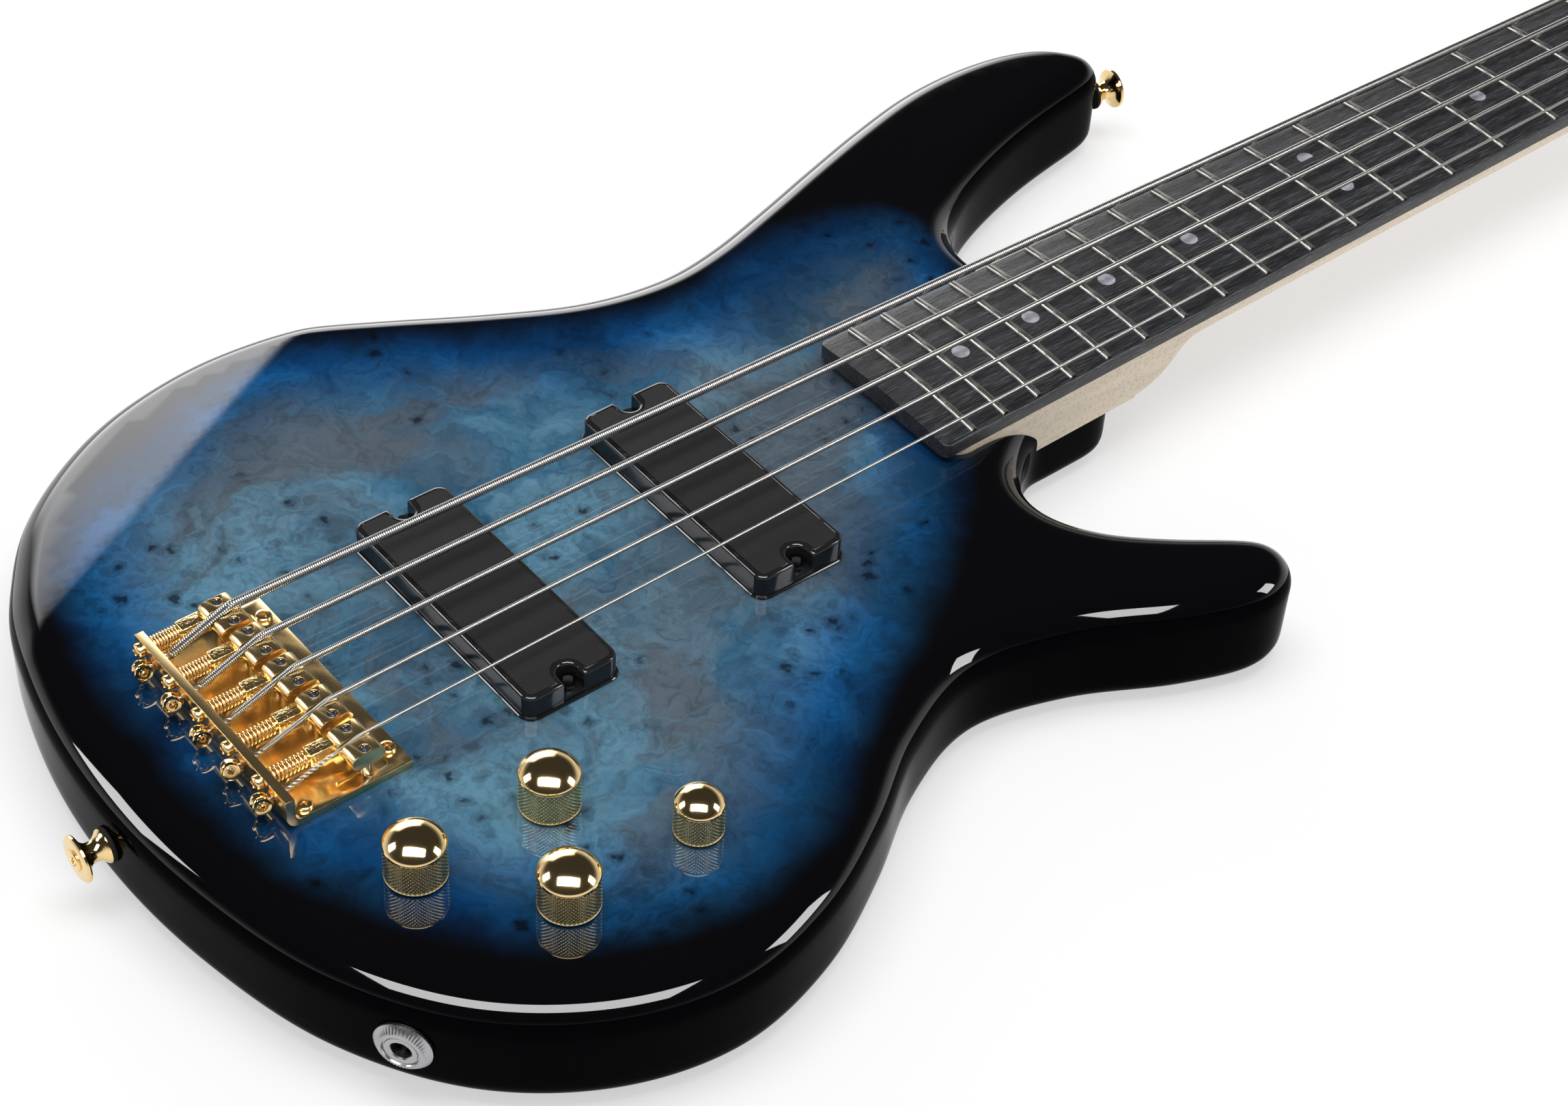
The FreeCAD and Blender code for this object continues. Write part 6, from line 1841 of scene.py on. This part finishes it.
# Controls
def knob_shape(radius, height, depth, columns):
    """Knob with a diamond-knurled grip and a polished dome."""
    sides = 2 * columns
    grip_low, grip_high = 0.5, height * 0.68
    rows = 2 * max(4, int(round((grip_high - grip_low) / (2 * math.pi * radius / columns) / 1.1)))
    points = []
    faces = []
    angles = [2 * math.pi * k / sides for k in range(sides)]

    def ring(r, z):
        points.extend((r * math.cos(a), r * math.sin(a), z) for a in angles)

    ring(radius * 0.62, 0.4)
    ring(radius * 0.66, 0.0)
    ring(radius - 0.35, 0.0)
    ring(radius - 0.05, 0.35)
    for row in range(rows + 1):
        z = grip_low + (grip_high - grip_low) * row / rows
        points.extend(((radius - depth * ((k + row) % 2 == 0)) * math.cos(a),
                       (radius - depth * ((k + row) % 2 == 0)) * math.sin(a), z)
                      for k, a in enumerate(angles))
    ring(radius - 0.06, grip_high + 0.10)
    bend = math.radians(52)
    shoulder = 0.21 * radius
    cap = (radius - shoulder) / math.sin(bend) + shoulder
    stretch = (height - grip_high - 0.3) / (cap - (cap - shoulder) * math.cos(bend))
    for slope in (90, 78, 66, 58, 52, 45, 38, 31, 24, 17, 10, 4):
        angle = math.radians(slope)
        if angle > bend:
            out, up = radius - shoulder + shoulder * math.sin(angle), shoulder * math.cos(angle)
        else:
            out = cap * math.sin(angle)
            up = cap * math.cos(angle) - (cap - shoulder) * math.cos(bend)
        ring(out, grip_high + 0.3 + up * stretch)
    count = len(points) // sides
    for row in range(count - 1):
        knurled = 4 <= row < 4 + rows
        for k in range(sides):
            a, b = row * sides + k, row * sides + (k + 1) % sides
            c, d = b + sides, a + sides
            if not knurled:
                faces.append((a, b, c, d))
            elif (k + row) % 2 == 0:
                faces += [(a, b, c), (a, c, d)]
            else:
                faces += [(a, b, d), (b, c, d)]
    top = (count - 1) * sides
    points.append((0, 0, height))
    for k in range(sides):
        faces.append((top + k, top + (k + 1) % sides, len(points) - 1))
    points.append((0, 0, 0.4))
    for k in range(sides):
        faces.append(((k + 1) % sides, k, len(points) - 1))
    return np.array(points), faces


class BASS_OT_controls(bpy.types.Operator):
    """Build the knobs, and finish the cover and the parts inside"""
    bl_idname = "bass.make_controls"
    bl_label = "Controls"

    def execute(self, context):
        look = context.scene.bass_hardware
        gold = gold_plate()
        knurled = knurled_gold()
        steel = bright_metal("plain_steel", (0.5, 0.5, 0.5), 0.35)
        for name, place, radius, height in zip(KNOBS, KNOB_PLACES, KNOB_RADII, KNOB_HEIGHTS):
            columns = int(round(look.knurl_columns * radius / 9.6 / 2)) * 2
            shape = knob_shape(radius, height, look.knurl_depth / MM, columns)
            stem = lathe([(3.0, 31.1 - KNOB_FOOT), (3.0, 0.5)], 28)
            matrix = Matrix.Translation(Vector((*place, KNOB_FOOT)))
            piece = add_object("control_" + name, several(moved(shape, matrix),
                                                          moved(stem, matrix)))
            # Mask of the knurl's depth at each point, 0 in the valleys and 1 on the tips, which the
            # grip's gold turns into painted shade.
            relief = piece.data.attributes.new("relief", "FLOAT", "POINT")
            for vertex, value in zip(piece.data.vertices, relief.data):
                x, y, z = vertex.co / MM
                out = math.hypot(x - place[0], y - place[1]) - radius + look.knurl_depth / MM
                gripped = 0.45 < z - KNOB_FOOT < height * 0.68 + 0.02
                value.value = min(1, max(0, out * MM / look.knurl_depth)) if gripped else 1
            dressed(piece, gold, "knob_" + name, ("knob_" + name,), angle=50)
            piece.data.materials.append(knurled)
            for face in piece.data.polygons:
                if 0.4 < face.center.z / MM - KNOB_FOOT < height * 0.68:
                    face.material_index = 1
        refinish("potentiometers", steel)
        refinish("truss_rod", steel)
        plastic = moulded("satin_cover", (0.02, 0.02, 0.022), 0.4)
        refinish("control_cover", plastic)
        refinish("truss_rod_cover", plastic)
        refinish("battery", moulded("battery_case", (0.05, 0.05, 0.06), 0.35))
        refinish("black_screws", bright_metal("black_screw", (0.045, 0.045, 0.05), 0.25))
        refinish("neck_ferrules", gold)
        refinish("neck_bolts", gold)
        return {"FINISHED"}


class BASS_OT_jack(bpy.types.Operator):
    """Build the output jack's ring"""
    bl_idname = "bass.make_jack"
    bl_label = "Output Jack"

    def execute(self, context):
        nickel = bright_metal("nickel_ring", (0.42, 0.42, 0.43), 0.24)
        sides = 96
        profile = [(3.25, -12.0), (3.25, 2.2), (3.6, 2.6), (5.1, 2.6), (5.3, 2.2), (5.6, 2.2),
                   (5.9, 3.0), (6.6, 3.05), (7.3, 2.7), (8.9, 1.2), (9.2, 0.8), (9.2, 0.0),
                   (5.6, 0.0), (5.6, -12.0)]
        points, faces = ring_shape(profile, sides)
        teeth = points.reshape(sides, len(profile), 3)
        teeth[1::2, 7:10, 2] -= 0.22
        turn = math.radians(JACK_TURN)
        way = (math.cos(turn), math.sin(turn), 0)
        plug = lathe([(3.4, -12.2), (3.4, -12.0), (0, -12.0)], 24)
        piece = add_object("jack_ring", several(moved((points, faces), pointing(JACK_PLACE, way)),
                                                moved(plug, pointing(JACK_PLACE, way))))
        dressed(piece, nickel, ROOT, ("output_jack",), angle=30)
        return {"FINISHED"}


class BASS_OT_strap_buttons(bpy.types.Operator):
    """Build the strap buttons with their felt washers"""
    bl_idname = "bass.make_strap_buttons"
    bl_label = "Strap Buttons"

    def execute(self, context):
        gold = gold_plate()
        felt = moulded("black_felt", (0.012, 0.012, 0.012), 0.9, 0.6)
        turn = math.radians(HORN_TURN)
        places = [REAR_BUTTON, HORN_BUTTON]
        ways = [(-1, 0, 0), (math.cos(turn), math.sin(turn), 0)]
        profile = [(0, 1.2), (5.4, 1.2), (5.6, 1.6), (5.4, 2.1), (4.4, 3.0), (3.6, 4.2), (3.4, 5.6),
                   (3.6, 7.0), (4.6, 8.2), (6.6, 9.2), (7.6, 9.6), (7.8, 10.1), (7.7, 10.7),
                   (7.2, 11.1), (6.2, 11.2), (4.1, 11.15), (3.9, 10.9), (0, 10.9)]
        piece = scattered("strap_pins", several(
            lathe(profile, 48),
            moved(cross_head(3.4, 1.0, 0.9), Matrix.Translation(Vector((0, 0, 10.9))))),
            places, ways, gold)
        dressed(piece, gold, ROOT, ("strap_buttons",), angle=30)
        washers = scattered("felt_washers", lathe([(0, 0.0), (5.7, 0.0), (5.9, 0.3), (5.9, 0.9),
                                                   (5.7, 1.2), (0, 1.2)], 40), places, ways, felt)
        dressed(washers, felt, ROOT, ("strap_washers",))
        return {"FINISHED"}


# Tuners
def key_shape():
    """Worm, shaft, collar and button of a tuner key, along +Z from the worm's middle."""
    stem = lathe([(0, -4.5), (2.2, -4.5), (2.2, 4.5), (1.9, 4.6), (1.9, 12.3), (3.0, 12.3),
                  (3.2, 12.6), (3.2, 13.4), (2.4, 14.0), (2.2, 16.0), (2.2, 17.5), (0, 17.5)], 32)
    rings = []
    for turn in range(0, 181, 12):
        angle = math.radians(turn)
        along = 16.5 + 10.0 * (1 - math.cos(angle))
        wide = max(0.02, math.sin(angle) ** 0.62)
        swell = 1 + 0.16 * math.cos(math.radians(turn + 20))
        ring = []
        for k in range(36):
            a = 2 * math.pi * k / 36
            x = 7.4 * wide / swell * math.copysign(abs(math.cos(a)) ** 0.8, math.cos(a))
            y = 2.8 * wide ** 0.7 * math.copysign(abs(math.sin(a)) ** 0.8, math.sin(a))
            ring.append((x, y, along))
        rings.append(ring)
    return several(stem, skin(rings))


class BASS_OT_tuners(bpy.types.Operator):
    """Build the tuners: housings, keys, posts and bushings"""
    bl_idname = "bass.make_tuners"
    bl_label = "Tuners"

    def execute(self, context):
        gold = gold_plate()
        spots = [Vector((x, y, 0)) for x, y in zip(POST_DISTANCES, POST_OFFSETS)]
        axis = HEAD_FRAME.to_3x3() @ Vector((0, 0, 1))
        post = [(0, -21.4), (5.2, -21.4), (5.2, -17.4), (4.75, -17.4), (4.75, 2.4), (4.1, 3.2),
                (4.1, 13.6), (4.75, 14.4), (4.75, 18.5), (4.3, 19.0), (0, 19.0)]
        cases = []
        for index, (spot, name) in enumerate(zip(spots, STRINGS)):
            side = math.copysign(1, spot.y)
            case = add_object("case", box(
                (spot.x - 13.5, min(spot.y - side * 9, spot.y + side * 12), HEAD_BACK - 11.0),
                (spot.x + 8.5, max(spot.y - side * 9, spot.y + side * 12), HEAD_BACK)))
            softened(case, 2.0, 4)
            cases.append(moved(shape_of(case), HEAD_FRAME))
            remove(case)
            worm = Vector((spot.x - 7.7, spot.y, -19.4))
            key = add_object("key_" + name, moved(key_shape(),
                                                  HEAD_FRAME @ pointing(worm, (0, side, 0))))
            dressed(key, gold, "tuner_key_" + name, ("tuner_key_" + name,),
                    angle=35)
            peg = add_object("post_" + name, lathe(post, 48))
            slot = add_object("slot", box((-1.7, -9, 15.2), (1.7, 9, 25)))
            combined(peg, [slot])
            peg.data.transform(Matrix.Scale(MM, 4) @ HEAD_FRAME @ Matrix.Translation(spot)
                               @ Matrix.Scale(1 / MM, 4))
            dressed(peg, gold, "tuner_post_" + name, ("tuner_post_" + name,),
                    angle=35)
        housings = add_object("gear_cases", several(*cases))
        dressed(housings, gold, ROOT, ("tuner_housings",), angle=30)
        ring = [(4.85, -13.8), (6.3, -13.8), (6.3, 0.02), (8.3, 0.02), (8.5, 0.4), (8.3, 0.9),
                (7.6, 1.2), (5.1, 1.2), (4.85, 1.0)]
        places = [HEAD_FRAME @ spot for spot in spots]
        bushings = scattered("post_bushings", ring_shape(ring, 48), places, [tuple(axis)] * 5, gold)
        dressed(bushings, gold, ROOT, ("tuner_bushings",), angle=30)
        return {"FINISHED"}


# Stage
class BASS_OT_stage(bpy.types.Operator):
    """Set the floor, the lights, the world and the camera"""
    bl_idname = "bass.make_stage"
    bl_label = "Stage"

    def execute(self, context):
        look = context.scene.bass_stage
        scene = context.scene
        mesh = bpy.data.meshes.new("floor")
        reach = 30.0
        mesh.from_pydata([(-reach, -reach, -0.0006), (reach, -reach, -0.0006),
                          (reach, reach, -0.0006), (-reach, reach, -0.0006)], [], [(0, 1, 2, 3)])
        floor = bpy.data.objects.new("floor", mesh)
        scene.collection.objects.link(floor)

        def build(nodes, shader):
            tree = nodes.tree
            rays = nodes.add("ShaderNodeLightPath").outputs
            seen = nodes.math("MAXIMUM", rays["Is Camera Ray"],
                              nodes.math("MAXIMUM", rays["Is Glossy Ray"],
                                         rays["Is Transmission Ray"]))
            into(nodes, shader, Base_Color=tuple(look.floor), Roughness=0.9)
            shader.inputs["Specular IOR Level"].default_value = 0.0
            glow = nodes.add("ShaderNodeEmission", {"Color": (1, 1, 1, 1), "Strength": 1.0})
            share = nodes.math("MULTIPLY", seen, 0.55)
            mix = nodes.add("ShaderNodeMixShader", {0: share, 1: shader.outputs[0],
                                                    2: glow.outputs[0]})
            tree.links.new(mix.outputs[0], tree.nodes["Material Output"].inputs[0])

        mesh.materials.append(material_of("pale_floor", build))

        azimuth, elevation, roll = (math.radians(v) for v in (CAMERA_AZIMUTH, CAMERA_ELEVATION,
                                                              CAMERA_ROLL))
        back = Vector((math.sin(azimuth) * math.cos(elevation),
                       -math.cos(azimuth) * math.cos(elevation), math.sin(elevation)))
        right = Vector((0, 0, 1)).cross(back).normalized()
        up = back.cross(right)
        turned_right = right * math.cos(roll) + up * math.sin(roll)
        turned_up = up * math.cos(roll) - right * math.sin(roll)
        data = bpy.data.cameras.new("camera")
        data.lens = CAMERA_LENS
        data.sensor_width = 36.0
        data.clip_start = 0.02
        data.clip_end = 100.0
        camera = bpy.data.objects.new("camera", data)
        scene.collection.objects.link(camera)
        camera.matrix_world = Matrix((
            (turned_right.x, turned_up.x, back.x, CAMERA_PLACE[0]),
            (turned_right.y, turned_up.y, back.y, CAMERA_PLACE[1]),
            (turned_right.z, turned_up.z, back.z, CAMERA_PLACE[2]), (0, 0, 0, 1)))
        scene.camera = camera

        near = Vector((back.x, back.y, 0)).normalized()
        side = Vector((-near.y, near.x, 0))
        centre = Vector((0.13, 0.0, 0.04))

        def lamp(name, offset, width, height, power, diffuse=True):
            light = bpy.data.lights.new(name, "AREA")
            light.shape = "RECTANGLE"
            light.size = width
            light.size_y = height
            light.energy = power
            thing = bpy.data.objects.new(name, light)
            scene.collection.objects.link(thing)
            thing.location = centre + offset
            facing = -offset.normalized()
            across = side if abs(facing.dot(side)) < 0.8 else near
            z = -facing
            x = (across - z * across.dot(z)).normalized()
            y = z.cross(x)
            thing.matrix_world = Matrix(((x.x, y.x, z.x, thing.location.x),
                                         (x.y, y.y, z.y, thing.location.y),
                                         (x.z, y.z, z.z, thing.location.z), (0, 0, 0, 1)))
            thing.visible_camera = False
            if not diffuse:
                thing.visible_diffuse = False
            return thing

        overhead = lamp("soft_overhead", Vector((0, 0, 1.9)) - near * 0.1, 1.9, 0.9,
                        look.soft_power)
        overhead.visible_glossy = False
        lamp("strip_near", near * 0.776 + Vector((0, 0, 1.4)), 1.75, 0.66, look.strip_power, False)
        for way in (-1, 1):
            offset = side * (1.33 * way) + near * 0.085 + Vector((0, 0, 0.687))
            lamp("strip_side_" + ("left" if way < 0 else "right"), offset, 0.40, 0.50,
                 look.strip_power * 0.17, False)

        world = bpy.data.worlds.new("studio")
        world.use_nodes = True
        scene.world = world
        nodes = Nodes(world.node_tree)
        backdrop = world.node_tree.nodes["Background"]
        rays = nodes.add("ShaderNodeLightPath").outputs
        direction = nodes.add("ShaderNodeTexCoord").outputs["Generated"]
        height = nodes.add("ShaderNodeSeparateXYZ", {0: direction}).outputs[2]
        room = nodes.ramp(height, ((0.0, 0.9), (0.18, 0.6), (0.30, 0.14), (0.42, 0.04),
                                   (1.0, 0.04)))
        plan = nodes.vector("MULTIPLY", direction, (1.0, 1.0, 0.0))
        plan = nodes.vector("NORMALIZE", plan)
        turn = math.radians(PANEL_AZIMUTH)
        facing = nodes.add("ShaderNodeVectorMath", {0: plan, 1: (math.cos(turn), math.sin(turn), 0)},
                           operation="DOT_PRODUCT").outputs["Value"]
        beside = nodes.ramp(facing, ((0.91, 0.0), (0.985, 1.0)))
        above = nodes.ramp(height, ((0.36, 0.9), (0.43, 0.9), (0.455, 0.62), (0.49, 0.22), (0.53, 0.05),
                                    (0.56, 0.0)))
        panel = nodes.math("MULTIPLY", nodes.math("MULTIPLY", beside, above), look.panel_light)
        room = nodes.blend(1.0, room, nodes.add("ShaderNodeCombineColor", {
            0: panel, 1: panel, 2: panel}).outputs[0], "ADD")
        soft = nodes.blend(rays["Is Diffuse Ray"], room, (0.46, 0.46, 0.47))
        colour = nodes.blend(rays["Is Camera Ray"], soft, (1.0, 1.0, 1.0))
        world.node_tree.links.new(colour, backdrop.inputs["Color"])
        backdrop.inputs["Strength"].default_value = 1.0
        scene.view_settings.view_transform = "Standard"
        return {"FINISHED"}


class BASS_PT_panel(bpy.types.Panel):
    """Lists the pieces that the add-on builds"""
    bl_label = "Bass Guitar"
    bl_idname = "BASS_PT_panel"
    bl_space_type = "VIEW_3D"
    bl_region_type = "UI"
    bl_category = "Bass Guitar"

    def draw(self, context):
        for operator in OPERATORS:
            self.layout.operator(operator.bl_idname)
        for name in ("bass_body", "bass_neck", "bass_strings", "bass_hardware", "bass_pickups",
                     "bass_stage"):
            group = getattr(context.scene, name)
            area = self.layout.box()
            for key in group.bl_rna.properties.keys():
                if key not in ("rna_type", "name"):
                    area.prop(group, key)


SETTINGS = (("bass_body", BodySettings), ("bass_neck", NeckSettings),
            ("bass_strings", StringSettings), ("bass_hardware", HardwareSettings),
            ("bass_pickups", PickupSettings), ("bass_stage", StageSettings))
OPERATORS = (BASS_OT_stage, BASS_OT_body, BASS_OT_neck, BASS_OT_board, BASS_OT_strings,
             BASS_OT_bridge, BASS_OT_pickups, BASS_OT_controls, BASS_OT_jack,
             BASS_OT_strap_buttons, BASS_OT_tuners)


def register():
    for name, group in SETTINGS:
        bpy.utils.register_class(group)
        setattr(bpy.types.Scene, name, bpy.props.PointerProperty(type=group))
    for operator in OPERATORS:
        bpy.utils.register_class(operator)
    bpy.utils.register_class(BASS_PT_panel)


def unregister():
    bpy.utils.unregister_class(BASS_PT_panel)
    for operator in reversed(OPERATORS):
        bpy.utils.unregister_class(operator)
    for name, group in reversed(SETTINGS):
        delattr(bpy.types.Scene, name)
        bpy.utils.unregister_class(group)


def main():
    register()
    bpy.ops.bass.make_stage()
    bpy.ops.bass.make_body()
    bpy.ops.bass.make_neck()
    bpy.ops.bass.make_board()
    bpy.ops.bass.make_strings()
    bpy.ops.bass.make_bridge()
    bpy.ops.bass.make_pickups()
    bpy.ops.bass.make_controls()
    bpy.ops.bass.make_jack()
    bpy.ops.bass.make_strap_buttons()
    bpy.ops.bass.make_tuners()


if __name__ == "__main__":
    main()
